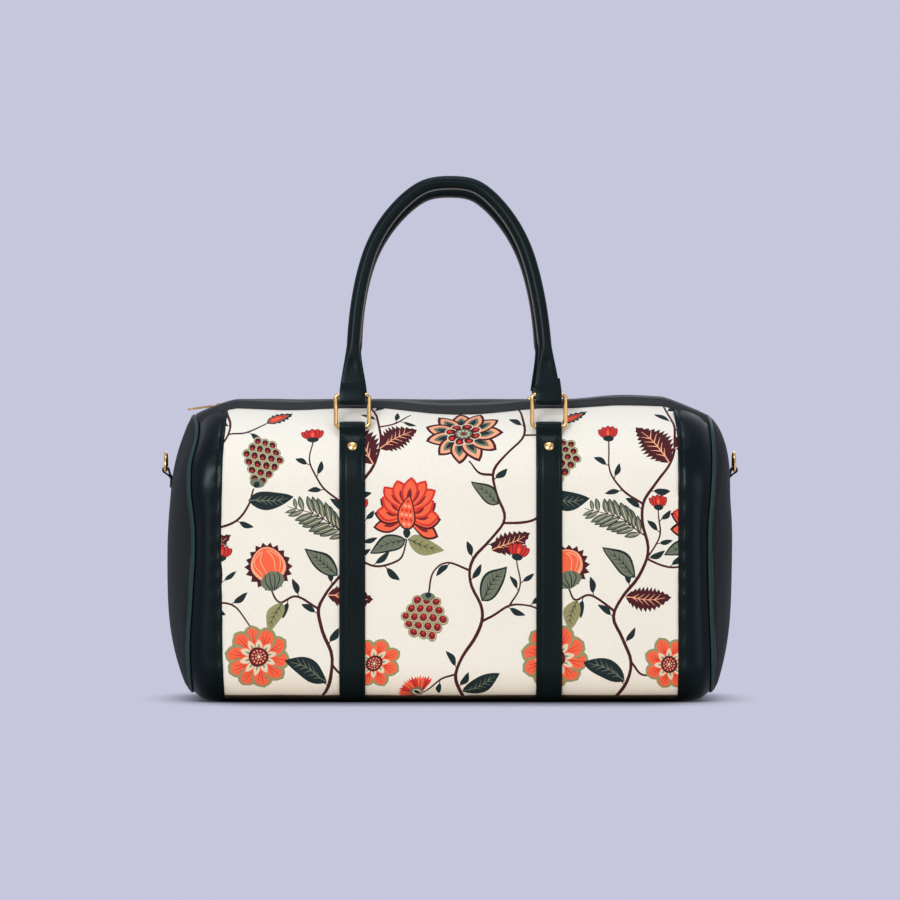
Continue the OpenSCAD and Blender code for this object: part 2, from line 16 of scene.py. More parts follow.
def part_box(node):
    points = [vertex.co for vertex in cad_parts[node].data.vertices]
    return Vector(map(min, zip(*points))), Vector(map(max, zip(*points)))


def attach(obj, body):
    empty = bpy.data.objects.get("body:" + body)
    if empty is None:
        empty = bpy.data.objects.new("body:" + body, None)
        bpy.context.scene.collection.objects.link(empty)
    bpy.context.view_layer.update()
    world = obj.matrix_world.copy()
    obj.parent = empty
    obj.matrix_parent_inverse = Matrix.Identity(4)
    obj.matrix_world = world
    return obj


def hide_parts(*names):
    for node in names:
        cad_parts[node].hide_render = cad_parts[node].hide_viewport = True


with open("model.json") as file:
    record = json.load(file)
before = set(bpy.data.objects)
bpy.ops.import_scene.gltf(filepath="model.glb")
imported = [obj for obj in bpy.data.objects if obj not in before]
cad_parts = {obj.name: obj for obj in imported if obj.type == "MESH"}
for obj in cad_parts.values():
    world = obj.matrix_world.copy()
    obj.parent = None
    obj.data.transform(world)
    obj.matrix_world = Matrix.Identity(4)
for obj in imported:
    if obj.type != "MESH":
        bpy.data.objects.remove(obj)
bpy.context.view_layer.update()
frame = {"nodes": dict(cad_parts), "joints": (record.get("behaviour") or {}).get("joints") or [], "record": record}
MM = 0.001


# %% [markdown]
# ## Camera
# The photograph was taken from about five metres, level, with a long lens, a little left of the middle,
# so the left end shows more than the right one. A level camera keeps upright lines upright. The lens
# shift lifts the picture without tilting the camera, as a shop photographer does.

# %% Camera
CAMERA_DISTANCE = 5.1
CAMERA_HEIGHT = 0.195
CAMERA_YAW = np.radians(0.3)
BAG_FRONT = 0.11
VIEW_WIDTH = 0.800
VIEW_MIDDLE_Z = 0.2245
SENSOR = 36.0

camera_data = bpy.data.cameras.new("camera")
camera = bpy.data.objects.new("camera", camera_data)
bpy.context.scene.collection.objects.link(camera)
from_bag = -CAMERA_DISTANCE * np.array([np.sin(CAMERA_YAW), np.cos(CAMERA_YAW)])
camera.location = (*from_bag, CAMERA_HEIGHT)
camera.rotation_euler = (np.pi / 2, 0.0, -CAMERA_YAW)
camera_data.sensor_width = SENSOR
camera_data.lens = SENSOR * (CAMERA_DISTANCE - BAG_FRONT) / VIEW_WIDTH
camera_data.shift_y = (VIEW_MIDDLE_Z - CAMERA_HEIGHT) / VIEW_WIDTH
bpy.context.scene.camera = camera
print("lens", round(camera_data.lens, 1), "mm, shift", round(camera_data.shift_y, 4))


# %% [markdown]
# ## Backdrop and light
# The studio is one pale lavender sweep. A real sweep needs careful lighting to look the same everywhere.
# Here the floor glows with the backdrop's colour for the rays that come from the camera, dimmed where the bag
# stands close over it: a painted contact shadow, which alone tells it from the wall. The lamps are soft boxes.

# %% Backdrop and light
BACKDROP = (0.565, 0.571, 0.716)
SKY = (0.94, 0.96, 1.0)
SKY_STRENGTH = 0.38
BOUNCE = (0.90, 0.80, 0.66)
FLOOR_SIZE = 60.0
# The floor's painted contact shadow: its reach, its power, and the oval beyond which it fades out
SHADOW_REACH = 0.12
SHADOW_POWER = 2.2
SHADOW_POOL = (0.24, 0.36)
POOL_EDGE = (0.8, 1.2)
LAMP_COLOUR = (0.93, 0.95, 1.0)
LAMP_AIM = Vector((0.0, 0.0, 0.2))
# Each lamp: its place, its width and height, and its watts
LAMPS = {
    "key_box": ((-1.1, -2.9, 1.2), (1.2, 1.2), 49.0),
    "fill_box": ((2.0, -2.6, 0.6), (1.8, 1.2), 11.0),
    "top_box": ((0.0, -0.55, 2.4), (1.3, 0.6), 16.0),
    "back_box": ((0.6, 2.6, 1.7), (2.0, 2.0), 16.0),
}

bpy.context.scene.view_settings.view_transform = "Standard"


def feed(tree, node, inputs):
    """Gives a node its inputs, by name or number: sockets are linked, and colours and numbers are set."""
    for key, value in inputs.items():
        socket = node.inputs[key]
        if isinstance(value, bpy.types.NodeSocket):
            tree.links.new(value, socket)
        else:
            socket.default_value = (*value, 1.0) if socket.type == "RGBA" else value
    return node


def add_node(tree, kind, inputs=None, **settings):
    """A new shader node with its settings and its inputs."""
    node = tree.nodes.new("ShaderNode" + kind)
    for key, value in settings.items():
        setattr(node, key, value)
    return feed(tree, node, inputs or {})


def calculate(tree, operation, *values):
    """The result of a Math node on sockets or plain numbers."""
    return add_node(tree, "Math", dict(enumerate(values)), operation=operation).outputs[0]


def scaled(tree, vector, factor):
    """A vector or colour times a number, as a socket."""
    return add_node(tree, "VectorMath", {0: vector, "Scale": factor}, operation="SCALE").outputs[0]


def start_material(name):
    """A material with its tree and its Principled shader."""
    made = bpy.data.materials.new(name)
    made.use_nodes = True
    return made, made.node_tree, made.node_tree.nodes["Principled BSDF"]


def show_two(tree, lit, seen, output):
    """One shader where the camera, a mirror or glass looks, and another for all other rays of light."""
    path = add_node(tree, "LightPath").outputs
    direct = calculate(tree, "MAXIMUM", path["Is Camera Ray"], path["Is Glossy Ray"])
    direct = calculate(tree, "MAXIMUM", direct, path["Is Transmission Ray"])
    mix = add_node(tree, "MixShader", {"Fac": direct, 1: lit.outputs[0], 2: seen.outputs[0]})
    feed(tree, tree.nodes[output], {"Surface": mix.outputs[0]})


def make_world():
    """The backdrop's colour where it is seen or mirrored, and a plain grey sky for soft light all round."""
    world = bpy.data.worlds.new("studio")
    world.use_nodes = True
    bpy.context.scene.world = world
    tree = world.node_tree
    sky = feed(tree, tree.nodes["Background"], {"Color": SKY, "Strength": SKY_STRENGTH})
    show_two(tree, sky, add_node(tree, "Background", {"Color": BACKDROP}), "World Output")


def make_floor():
    """A wide flat floor. Seen, it glows in the backdrop's colour, dimmed by a painted contact shadow: a power of
    its openness to the sky, which an ambient occlusion node measures near the bag. Outside an oval pool the
    painted shadow fades out. For the light that it throws back onto the bag it is a warmer matt white, as a
    reflector card is."""
    bpy.ops.mesh.primitive_plane_add(size=FLOOR_SIZE, location=(0, 0, 0))
    floor = bpy.context.object
    floor.name = "studio_floor"
    paint, tree, matt = start_material("studio_floor")
    feed(tree, matt, {"Base Color": BOUNCE, "Roughness": 1.0, "Specular IOR Level": 0.0})
    openness = add_node(tree, "AmbientOcclusion", {"Distance": SHADOW_REACH})
    place_on = add_node(tree, "TexCoord").outputs["Object"]
    oval = add_node(tree, "VectorMath", {0: place_on, 1: (*SHADOW_POOL, 1.0)}, operation="DIVIDE")
    reach = add_node(tree, "VectorMath", {0: oval.outputs[0]}, operation="LENGTH")
    # Painted contact shadow: the occlusion, faded to none outside the oval pool
    fade = {"Value": reach.outputs["Value"], "To Min": openness.outputs["AO"]}
    fade.update(zip(("From Min", "From Max"), POOL_EDGE))
    painted_openness = add_node(tree, "MapRange", fade, interpolation_type="SMOOTHSTEP")
    strength = calculate(tree, "POWER", painted_openness.outputs["Result"], SHADOW_POWER)
    glow = add_node(tree, "Emission", {"Color": BACKDROP, "Strength": strength})
    show_two(tree, matt, glow, "Material Output")
    floor.data.materials.append(paint)


def soft_box(name, at, size, watts):
    """An oblong lamp at a place, turned to face the bag."""
    lamp = bpy.data.lights.new(name, "AREA")
    lamp.shape = "RECTANGLE"
    lamp.size, lamp.size_y = size
    lamp.energy = watts
    lamp.color = LAMP_COLOUR
    holder = bpy.data.objects.new(name, lamp)
    bpy.context.scene.collection.objects.link(holder)
    holder.location = at
    holder.rotation_euler = (LAMP_AIM - Vector(at)).to_track_quat("-Z", "Y").to_euler()


make_world()
make_floor()
for lamp_name, lamp_values in LAMPS.items():
    soft_box(lamp_name, *lamp_values)
print("backdrop, floor and", len(LAMPS), "soft boxes")


# %% [markdown]
# ## Small helpers for meshes
# Nearly every piece below is a grid of points: rows along the piece, columns round its section. The faces
# of a grid follow from its two counts alone, so one helper serves bands, straps, tubes and domes. Points
# are in millimetres while we work, because the bag was cut in millimetres, and become metres in the mesh.

# %% Mesh helpers
def ease(t):
    """Smooth step: 0 below 0, 1 above 1, and 3t^2 - 2t^3 between them."""
    t = np.clip(t, 0.0, 1.0)
    return t * t * (3.0 - 2.0 * t)


def hump(t):
    """A round bump: (1 - t^2)^2 inside -1..1, and 0 outside."""
    return np.clip(1.0 - np.square(t), 0.0, None) ** 2


def signed_power(v, power):
    """The power of a number's size, with its sign kept."""
    return np.sign(v) * np.abs(v) ** power


def bumps(t, *rows, base=0.0):
    """A base plus humps, each given as its height, the place of its top and how far it reaches."""
    return sum((height * hump((t - at) / reach) for height, at, reach in rows), base)


def dent(t):
    """A bell: exp(-t^2)."""
    return np.exp(-np.square(t))


def quarter(t):
    """A quarter circle: the root of 1 - (1 - t)^2 inside 0..1, and 1 above."""
    return np.sqrt(1 - (1 - np.clip(t, 0, 1)) ** 2)


def round_angles(count):
    """Even angles round a circle, in radians."""
    return np.linspace(0, 2 * np.pi, count, endpoint=False)


def grid_faces(rows, columns, close_rows=False, close_columns=False):
    """Quads of a grid numbered row by row; a closed side joins its last line to its first."""
    r = np.arange(rows if close_rows else rows - 1)
    c = np.arange(columns if close_columns else columns - 1)
    i, j = np.meshgrid(r, c, indexing="ij")
    down = (i + 1) % rows
    right = (j + 1) % columns
    quads = [i * columns + j, i * columns + right, down * columns + right, down * columns + j]
    return np.stack(quads, -1).reshape(-1, 4)


def running_length(path):
    """The distance travelled along a path, at each of its points."""
    return np.concatenate([[0.0], np.cumsum(np.linalg.norm(np.diff(path, axis=0), axis=1))])


def spread_evenly(path, count, values=None):
    """The path's own points, or other values given at them, at equal distances along the path."""
    length = running_length(path)
    at = np.linspace(0.0, length[-1], count)
    columns = (path if values is None else values).T
    return np.stack([np.interp(at, length, column) for column in columns], -1)


def unit(v):
    """Vectors divided by their lengths."""
    return v / np.linalg.norm(v, axis=-1, keepdims=True)


def plane_normals(path):
    """Unit normals of a path in a plane: its direction turned by a right angle."""
    step = unit(np.gradient(path, axis=0))
    return np.stack([step[:, 1], -step[:, 0]], 1)


def carry(path, offset):
    """Points of a section carried along a path in its plane: offsets, per path point, along the normals."""
    return path[:, None, :] + offset[:, :, None] * plane_normals(path)[:, None, :]


def new_mesh(name, points, faces, material):
    """An object with its place in its mesh: points in mm become metres, and closed shapes face outwards."""
    mesh = bpy.data.meshes.new(name)
    mesh.from_pydata((np.asarray(points).reshape(-1, 3) * MM).tolist(), [], faces)
    shape = bmesh.new()
    shape.from_mesh(mesh)
    bmesh.ops.recalc_face_normals(shape, faces=shape.faces)
    shape.to_mesh(mesh)
    shape.free()
    mesh.polygons.foreach_set("use_smooth", np.ones(len(mesh.polygons), bool))
    mesh.materials.append(material)
    piece = bpy.data.objects.new(name, mesh)
    bpy.context.scene.collection.objects.link(piece)
    return piece


def tube_faces(rows, columns, closed=False):
    """Faces of a skin over rings of points, with flat caps where the row of rings is open."""
    faces = grid_faces(rows, columns, closed, True).tolist()
    if not closed:
        faces.append(list(range(columns)))
        faces.append([(rows - 1) * columns + k for k in range(columns)])
    return faces


def tube(name, rings, material, closed=False):
    """A closed skin over rings of points, which are an array of (rows, columns, 3)."""
    return new_mesh(name, rings, tube_faces(*rings.shape[:2], closed), material)


def dress(piece, body, slot, *nodes):
    """Ties a piece to its body and hides the stiff nodes that it stands for. The slot, the record's finish, is not
    used.
    """
    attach(piece, body)
    if nodes:
        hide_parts(*nodes)
    return piece


print("helpers ready")


# %% [markdown]
# ## Finishes
# Leather is dark and satin: a fine pebble grain breaks its shine, and slow changes of gloss make it look
# handled. Cloth has crossing threads. Both effects serve several materials, so each is a node group with
# named sockets, built once. Fixed numbers go straight onto the shader.

# %% Grain and weave groups
def new_group(name, rate, value, outputs):
    """A node group that takes a coordinate and a rate per metre and gives numbers.
    Returned with it are the coordinate, the coordinate times the rate, and the last node."""
    group = bpy.data.node_groups.new(name, "ShaderNodeTree")
    group.interface.new_socket("Vector", in_out="INPUT", socket_type="NodeSocketVector")
    number = group.interface.new_socket(rate, in_out="INPUT", socket_type="NodeSocketFloat")
    number.default_value = value
    for title in outputs:
        group.interface.new_socket(title, in_out="OUTPUT", socket_type="NodeSocketFloat")
    start = group.nodes.new("NodeGroupInput").outputs
    fine = scaled(group, start["Vector"], start[rate])
    return group, start["Vector"], fine, group.nodes.new("NodeGroupOutput")


def noise(tree, vector, scale, detail=3.0):
    """A Noise Texture's value at a coordinate."""
    return add_node(tree, "TexNoise", {"Scale": scale, "Detail": detail, "Vector": vector}).outputs["Fac"]


def make_grain_group():
    """Pebble grain: cell distance of a Voronoi pattern, roughened by noise, and slow patches of gloss."""
    group, plain, fine, end = new_group("leather_grain", "Pebbles per metre", 900.0, ("Height", "Patch"))
    cells = add_node(group, "TexVoronoi", {"Scale": 1.0, "Vector": fine}, feature="SMOOTH_F1")
    pits = calculate(group, "MULTIPLY", noise(group, fine, 2.3), 0.5)
    height = calculate(group, "SUBTRACT", pits, cells.outputs["Distance"])
    feed(group, end, {"Height": height, "Patch": noise(group, plain, 22.0, 4.0)})
    return group


def make_weave_group():
    """Plain weave: the product of two sines makes threads that pass over and under each other, and noise
    makes them uneven."""
    group, _, threads, end = new_group("cloth_weave", "Threads per metre", 1250.0, ("Height", "Tone"))
    axes = add_node(group, "SeparateXYZ", {0: threads}).outputs
    waves = [calculate(group, "SINE", calculate(group, "MULTIPLY", axes[k], np.pi)) for k in "XY"]
    crossing = calculate(group, "MULTIPLY", *waves)
    uneven = noise(group, threads, 0.35, 2.0)
    height = calculate(group, "ADD", calculate(group, "MULTIPLY", crossing, 0.5), uneven)
    feed(group, end, {"Height": height, "Tone": uneven})
    return group


GRAIN = make_grain_group()
WEAVE = make_weave_group()
print("groups:", GRAIN.name, "and", WEAVE.name)


# %% [markdown]
# ### Leather, metal and cloth
# The leathers differ only in colour, gloss and grain size: green-black trim, a softer black for straps
# and handles, a brown base, greener piping, more neutral ends and greyer facings. Their shine is tinted a
# cool green, as the photograph's is. The canvas takes its colours from an attribute that the print writes
# face by face.

# %% Materials
SHEEN = (0.78, 0.96, 1.0)
GRAIN_DEPTH = 0.00025
WEAVE_DEPTH = 0.0003


def tinted(colour, factor):
    """A colour made lighter or darker."""
    return tuple(factor * c for c in colour)


def place_group(tree, group, rate, kind="Object"):
    """Outputs of a node group with its rate, at the object's own coordinates or on its UV map."""
    vector = add_node(tree, "TexCoord").outputs[kind]
    return add_node(tree, "Group", {"Vector": vector, 1: rate}, node_tree=group).outputs


def map_value(tree, value, low, high):
    """A value from 0..1 mapped to low..high."""
    return add_node(tree, "MapRange", {"Value": value, "To Min": low, "To Max": high}).outputs["Result"]


def mix_colours(tree, factor, dark, light):
    """A colour between two, by a factor."""
    inputs = {"Factor": factor, "A": dark, "B": light}
    return add_node(tree, "Mix", inputs, data_type="RGBA").outputs["Result"]


def dented(tree, height, strength, depth):
    """The surface's normal, bumped by a height."""
    inputs = {"Strength": strength, "Distance": depth, "Height": height}
    return add_node(tree, "Bump", inputs).outputs["Normal"]


def leather(name, colour, gloss, pebbles=900.0, bump=0.28, shine=0.22):
    """Satin leather: colour and roughness drift in slow patches, and the grain is a bump."""
    made, tree, shader = start_material(name)
    grain = place_group(tree, GRAIN, pebbles)
    feed(tree, shader, {
        "Base Color": mix_colours(tree, grain["Patch"], colour, tinted(colour, 1.5)),
        "Roughness": map_value(tree, grain["Patch"], gloss - 0.07, gloss + 0.09),
        "Specular IOR Level": shine,
        "Specular Tint": SHEEN,
        "Normal": dented(tree, grain["Height"], bump, GRAIN_DEPTH),
    })
    return made


def metal(name, colour, gloss):
    """Plated metal: a full mirror of warm colour with a little cloudiness."""
    made, tree, shader = start_material(name)
    cloud = noise(tree, add_node(tree, "TexCoord").outputs["Object"], 160.0, 4.0)
    feed(tree, shader, {
        "Metallic": 1.0,
        "Roughness": map_value(tree, cloud, gloss - 0.05, gloss + 0.08),
        "Base Color": mix_colours(tree, cloud, colour, tinted(colour, 0.9)),
    })
    return made


def cloth(name, colour, threads):
    """Plain cloth: the weave shades and dents one colour."""
    made, tree, shader = start_material(name)
    weave = place_group(tree, WEAVE, threads)
    feed(tree, shader, {
        "Base Color": mix_colours(tree, weave["Tone"], tinted(colour, 0.8), tinted(colour, 1.25)),
        "Roughness": 0.85,
        "Normal": dented(tree, weave["Height"], 0.5, WEAVE_DEPTH),
    })
    return made


def printed_canvas():
    """Canvas: the print's colour attribute, a little uneven as ink on threads is, and the weave's bump."""
    made, tree, shader = start_material("printed_canvas")
    ink = add_node(tree, "Attribute", attribute_name="ink").outputs["Color"]
    weave = place_group(tree, WEAVE, 1250.0, "UV")
    feed(tree, shader, {
        "Base Color": scaled(tree, ink, map_value(tree, weave["Tone"], 0.91, 1.03)),
        "Roughness": 0.8,
        "Specular IOR Level": 0.25,
        "Normal": dented(tree, weave["Height"], 0.35, WEAVE_DEPTH),
    })
    return made


TRIM = leather("trim_leather", (0.0006, 0.0026, 0.0027), 0.25, shine=0.19)
STRAP = leather("strap_leather", (0.0036, 0.0068, 0.0070), 0.30, shine=0.11)
BASE = leather("base_leather", (0.03, 0.021, 0.018), 0.5, shine=0.07)
ENDS = leather("end_leather", (0.0145, 0.0175, 0.0185), 0.6, shine=0.06)
PIPING = leather("piping_leather", (0.017, 0.036, 0.036), 0.42, 1400.0, 0.2, 0.14)
FACING = leather("facing_leather", (0.0175, 0.0168, 0.0168), 0.55, 700.0, 0.3, 0.2)
# A pale grey-brown leather, lighter than the handles, for the thin seam fin under each arch
EDGE = leather("pale_seam_fin", (0.11, 0.105, 0.10), 0.6, 2500.0, 0.4)
THREAD = leather("thread", (0.0035, 0.0055, 0.006), 0.6, 3500.0, 0.5)
GOLD = metal("gold_metal", (0.80, 0.51, 0.19), 0.18)
TAPE = cloth("zip_tape", (0.012, 0.013, 0.015), 1500.0)
LINING = cloth("lining_cloth", (0.045, 0.045, 0.05), 1800.0)
BOARD = cloth("base_board", (0.07, 0.07, 0.07), 700.0)
CANVAS = printed_canvas()
print(len(bpy.data.materials), "materials")


# %% [markdown]
# ## The bag's outline
# Cut across, the bag is a rounded box: a flat base, a small turn at the bottom, an upright wall, a large
# roll over the top and a flat strip for the zip. The girth, measured from the middle of the base, names a
# place on that outline. It is negative at the front and positive at the back. Towards the ends the
# outline draws in. Cloth is never as true as the pattern: it swells between the straps, and its top edge
# dips and rises. All of the soft pieces call the same function, so a seam stays a seam.

# %% Outline of the body
def box_mm(node):
    """Lowest and highest corner of a stiff node, in mm."""
    return [np.array(corner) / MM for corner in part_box(node)]


def joint_mm(name):
    """The place of a joint's axis, in mm."""
    return [np.array(j["pos_m"]) / MM for j in frame["joints"] if j["name"] == name][0]


def span_mm(node, axis):
    """How long a stiff node is along one axis, in mm."""
    low, high = box_mm(node)
    return high[axis] - low[axis]


TOP_RADIUS = 75.0
BASE_RADIUS = 28.0
BAND_X = box_mm("front_panel")[1][0]
HALF_DEPTH = -box_mm("front_panel")[0][1]
LOW_Z = box_mm("base_panel")[0][2]
TOP_Z = box_mm("front_zip_facing")[1][2]
STOP_X = box_mm("front_zip_facing")[1][0]
ZIP_EDGE = -box_mm("front_zip_facing")[1][1]
ZIP_RUN = box_mm("zip_stops")[1][0]
STRAP_X = np.mean([corner[0] for corner in box_mm("right_strap")])
STRAP_WIDTH = span_mm("right_strap", 0)

# The frame's piping has flat sides, so its box is a little narrower than the round cord
PIPING_SIDES = 8
TOP_DROPS_OVER = 39.0
pipe_low, pipe_high = box_mm("right_piping")
pipe_half = (pipe_high[0] - pipe_low[0]) / 2
PIPING_RADIUS = pipe_half / np.cos(np.pi / PIPING_SIDES)
SEAM_X = pipe_high[0] - pipe_half
END_DROP = TOP_Z - (pipe_high[2] - pipe_half)
END_RISE = pipe_low[2] + pipe_half - LOW_Z
END_INSET = HALF_DEPTH + pipe_low[1] + pipe_half
DROP_X = SEAM_X - TOP_DROPS_OVER

ARCS = (np.pi / 2 * BASE_RADIUS, np.pi / 2 * TOP_RADIUS)
GIRTHS = np.cumsum([HALF_DEPTH - BASE_RADIUS, ARCS[0], TOP_Z - TOP_RADIUS - LOW_Z - BASE_RADIUS, ARCS[1],
                    HALF_DEPTH - TOP_RADIUS])
panel_low, panel_high = box_mm("front_panel")
FACING_SEAM = GIRTHS[2] + TOP_RADIUS * np.arcsin((panel_high[2] - TOP_Z + TOP_RADIUS) / TOP_RADIUS)
BASE_SEAM = GIRTHS[1] - BASE_RADIUS * np.arcsin((LOW_Z + BASE_RADIUS - panel_low[2]) / BASE_RADIUS)
BOTH_ENDS = (("left", -1), ("right", 1))
BOTH_FACES = (("front", -1), ("back", 1))

# Unevenness in mm. Each hump: its height, its place and its reach, over the girth or along the bag
CLOTH_SWELL = 2.2
CLOTH_RIPPLE = 0.35
SEAM_DIPS = ((-5.8, 10.0, 77.0), (-1.6, -146.0, 54.0))
SEAM_RISE = (3.6, 164.0, 64.0)
LEFT_SEAM = ((4.6, 365.0, 45.0), (-1.6, 310.0, 40.0), (2.6, 245.0, 60.0), (-2.3, 140.0, 55.0))
RIGHT_SEAM = ((1.7, 110.0, 80.0), (-1.4, 245.0, 90.0), (3.0, 335.0, 80.0))
LEFT_BAND = ((3.3, 385.0, 80.0), (-1.1, 240.0, 75.0), (1.6, 90.0, 65.0))
RIGHT_BAND = (-3.2, 390.0, 60.0)
print("girth from base to zip:", np.round(GIRTHS, 1))
print("seams at", round(BASE_SEAM, 1), "and", round(FACING_SEAM, 1))


def end_share(x, start, power):
    """A power of how far x lies on its way from start to the end seam."""
    return np.clip((np.abs(x) - start) / (SEAM_X - start), 0.0, None) ** power


def top_height(x, distance):
    """Height of the top at a distance from the middle: from the rolls it slopes down to the zip's level."""
    high = TOP_Z - END_DROP * end_share(x, DROP_X, 1.5)
    low = np.minimum(high, TOP_Z - END_DROP * end_share(ZIP_RUN, DROP_X, 1.5))
    outwards = (distance - ZIP_EDGE) / (HALF_DEPTH - TOP_RADIUS - ZIP_EDGE)
    return low + (high - low) * np.clip(outwards, 0.0, 1.0)


def slack(x, girth):
    """How far the cloth stands off the outline, and how far it is lifted, in mm.
    Between straps and bands it swells outwards. The facing's seam dips, and rises at the right."""
    g = np.abs(girth)
    inner = hump(x / (STRAP_X - STRAP_WIDTH / 2))
    outer = hump((np.abs(x) - (STRAP_X + BAND_X + 6.0) / 2) / 52.0)
    swell = CLOTH_SWELL * (inner + outer) * hump((g - (GIRTHS[1] + GIRTHS[2]) / 2) / 130.0)
    near_seam = hump((g - FACING_SEAM) / np.where(g < FACING_SEAM, 70.0, 32.0))
    dip = bumps(x, *SEAM_DIPS) * near_seam
    rise = bumps(x, SEAM_RISE) * hump((g - FACING_SEAM - 26.0) / 72.0)
    along = np.sin(x / 17.0 + 2.1 * np.sin(girth / 61.0))
    ripple = CLOTH_RIPPLE * along * np.sin(girth / 37.0 + 0.9 * np.sin(x / 43.0))
    return swell + ripple * (inner + outer), dip + rise


def wander(x, girth):
    """How far the sewing strays along the bag, in mm, and half as far at the back.
    The left end seam winds a little, the right one flares towards the top, and the band edges bow."""
    g = np.abs(girth)
    reach = ease((np.abs(x) - STRAP_X - 40.0) / 70.0)
    seam = ease((np.abs(x) - BAND_X) / (SEAM_X - BAND_X))
    left = bumps(g, *LEFT_SEAM) * seam + bumps(g, *LEFT_BAND) * (1 - seam)
    right = bumps(g, *RIGHT_SEAM, base=0.7) * seam + bumps(g, RIGHT_BAND, base=-0.5) * (1 - seam)
    return reach * np.where(x < 0, left, right) * np.where(girth < 0, 1.0, 0.5)


def outline(x, girth, offset=0.0, soft=True):
    """A point of the outline at x and a signed girth, moved out along its normal.
    The normal's angle runs from -90 degrees on the base over 0 on the wall to 90 degrees on the top."""
    x, girth, offset = np.broadcast_arrays(np.asarray(x, float), girth, offset)
    side = np.where(girth < 0, -1.0, 1.0)
    g = np.abs(girth)
    starts = np.concatenate([[0.0], GIRTHS])
    share = [np.clip((g - starts[k]) / (starts[k + 1] - starts[k]), 0.0, 1.0) for k in range(5)]
    low_turn = np.pi / 2 * (share[1] - 1.0)
    roll = np.pi / 2 * share[3]
    depth = HALF_DEPTH - END_INSET * end_share(x, BAND_X, 3)
    low = LOW_Z + END_RISE * end_share(x, BAND_X, 3)
    high = TOP_Z - END_DROP * end_share(x, DROP_X, 1.5)
    y = (depth - BASE_RADIUS) * share[0] + BASE_RADIUS * np.cos(low_turn)
    y = y + TOP_RADIUS * (np.cos(roll) - 1.0) - (depth - TOP_RADIUS) * share[4]
    z = low + BASE_RADIUS * (1.0 + np.sin(low_turn)) + TOP_RADIUS * np.sin(roll)
    z = z + (high - TOP_RADIUS - low - BASE_RADIUS) * share[2]
    z = z + top_height(x, (HALF_DEPTH - TOP_RADIUS) * (1.0 - share[4])) - high
    swell, lifted = slack(x, girth) if soft else (0.0, 0.0)
    stray = wander(x, girth) if soft else 0.0
    tilt = low_turn + roll
    out = offset + swell
    return np.stack([x + stray, side * (y + out * np.cos(tilt)), z + out * np.sin(tilt) + lifted], -1)


def outline_normal(girth):
    """The outward normal at a signed girth, across the bag."""
    side = np.where(np.asarray(girth) < 0, -1.0, 1.0)
    g = np.abs(girth)
    low_turn = np.clip((g - GIRTHS[0]) / ARCS[0], 0.0, 1.0)
    tilt = np.pi / 2 * (low_turn + np.clip((g - GIRTHS[2]) / ARCS[1], 0.0, 1.0) - 1.0)
    return np.stack([np.zeros_like(g), side * np.cos(tilt), np.sin(tilt)], -1)


# %% [markdown]
# ## The print: motifs
# The cloth carries a flowering vine in the old chintz manner, drawn for this bag: flat fields of colour,
# each with a darker edge and a few lines. A motif is a list of outlines with colour names, in painting
# order, so a later one covers an earlier one. Most outlines are one formula, a leaf-shaped blade, at
# several sizes.

# %% Colours and basic outlines
INKS = {
    "cream": (0.875, 0.842, 0.760), "maroon": (0.069, 0.008, 0.013), "wine": (0.216, 0.013, 0.021),
    "red": (0.680, 0.034, 0.025), "coral": (0.930, 0.138, 0.061), "peach": (0.920, 0.413, 0.238),
    "teal": (0.010, 0.023, 0.025), "sage": (0.162, 0.188, 0.127), "olive": (0.305, 0.296, 0.138),
    "pale": (0.760, 0.672, 0.491),
}
BLADE_STEPS = 12


def place(shapes, at=(0.0, 0.0), turn=0.0):
    """Shapes turned anticlockwise by degrees and moved."""
    c = np.cos(np.radians(turn))
    s = np.sin(np.radians(turn))
    return [(points @ np.array([[c, s], [-s, c]]) + np.array(at), ink) for points, ink in shapes]


def curve(points, steps=9):
    """A smooth line through points: a cubic between each pair. It passes a point in the direction from the
    neighbour before it to the one after it."""
    p = np.asarray(points, float)
    p = np.vstack([2 * p[0] - p[1], p, 2 * p[-1] - p[-2]])
    t = np.linspace(0, 1, steps, endpoint=False)[None, :, None]
    a, b, c, d = (p[k:len(p) - 3 + k, None] for k in range(4))
    line = 2 * b + (c - a) * t + (2 * a - 5 * b + 4 * c - d) * t**2 + (3 * b - a - 3 * c + d) * t**3
    return np.vstack([0.5 * line.reshape(-1, p.shape[1]), p[-2]])


def brush(path, start, stop):
    """A stroke: the path moved to both sides by half a width that changes from start to stop."""
    path = np.asarray(path, float)
    step = unit(np.gradient(path, axis=0))
    half = np.linspace(start, stop, len(path))[:, None] / 2 * np.stack([-step[:, 1], step[:, 0]], 1)
    return np.vstack([path + half, (path - half)[::-1]])


def blade(length, width, peak=0.5, power=0.8, bend=0.0, teeth=0, up=0.0):
    """A leaf or petal: its half width is a power of a sine along the midrib, widest at the share peak."""
    if teeth:
        t = np.arange(1, 2 * teeth) / (2 * teeth)
        notch = np.where(np.arange(len(t)) % 2 == 0, 0.8, 1.2)
    else:
        t = np.linspace(0, 1, BLADE_STEPS)[1:-1]
        notch = np.ones(len(t))
    half = width / 2 * np.sin(np.pi * t ** (np.log(0.5) / np.log(peak))) ** power * notch
    along = t + np.where(notch > 1, 0.4 / max(teeth, 1), 0.0) * (1 - t)
    middle = bend * length * np.sin(np.pi * along) ** 2 / 2
    right = np.stack([middle + half, along * length], 1)
    left = np.stack([middle - half, along * length], 1)[::-1]
    return np.vstack([[[0, 0]], right, [[0, length]], left]) + [0, up]


def blades(size, *rows):
    """Blades one on another. Each row: length, width, peak, power, lift and ink, with the length, the width
    and the lift as shares of a size."""
    return [(blade(size * length, size * width, peak, power, up=size * lift), ink)
            for length, width, peak, power, lift, ink in rows]


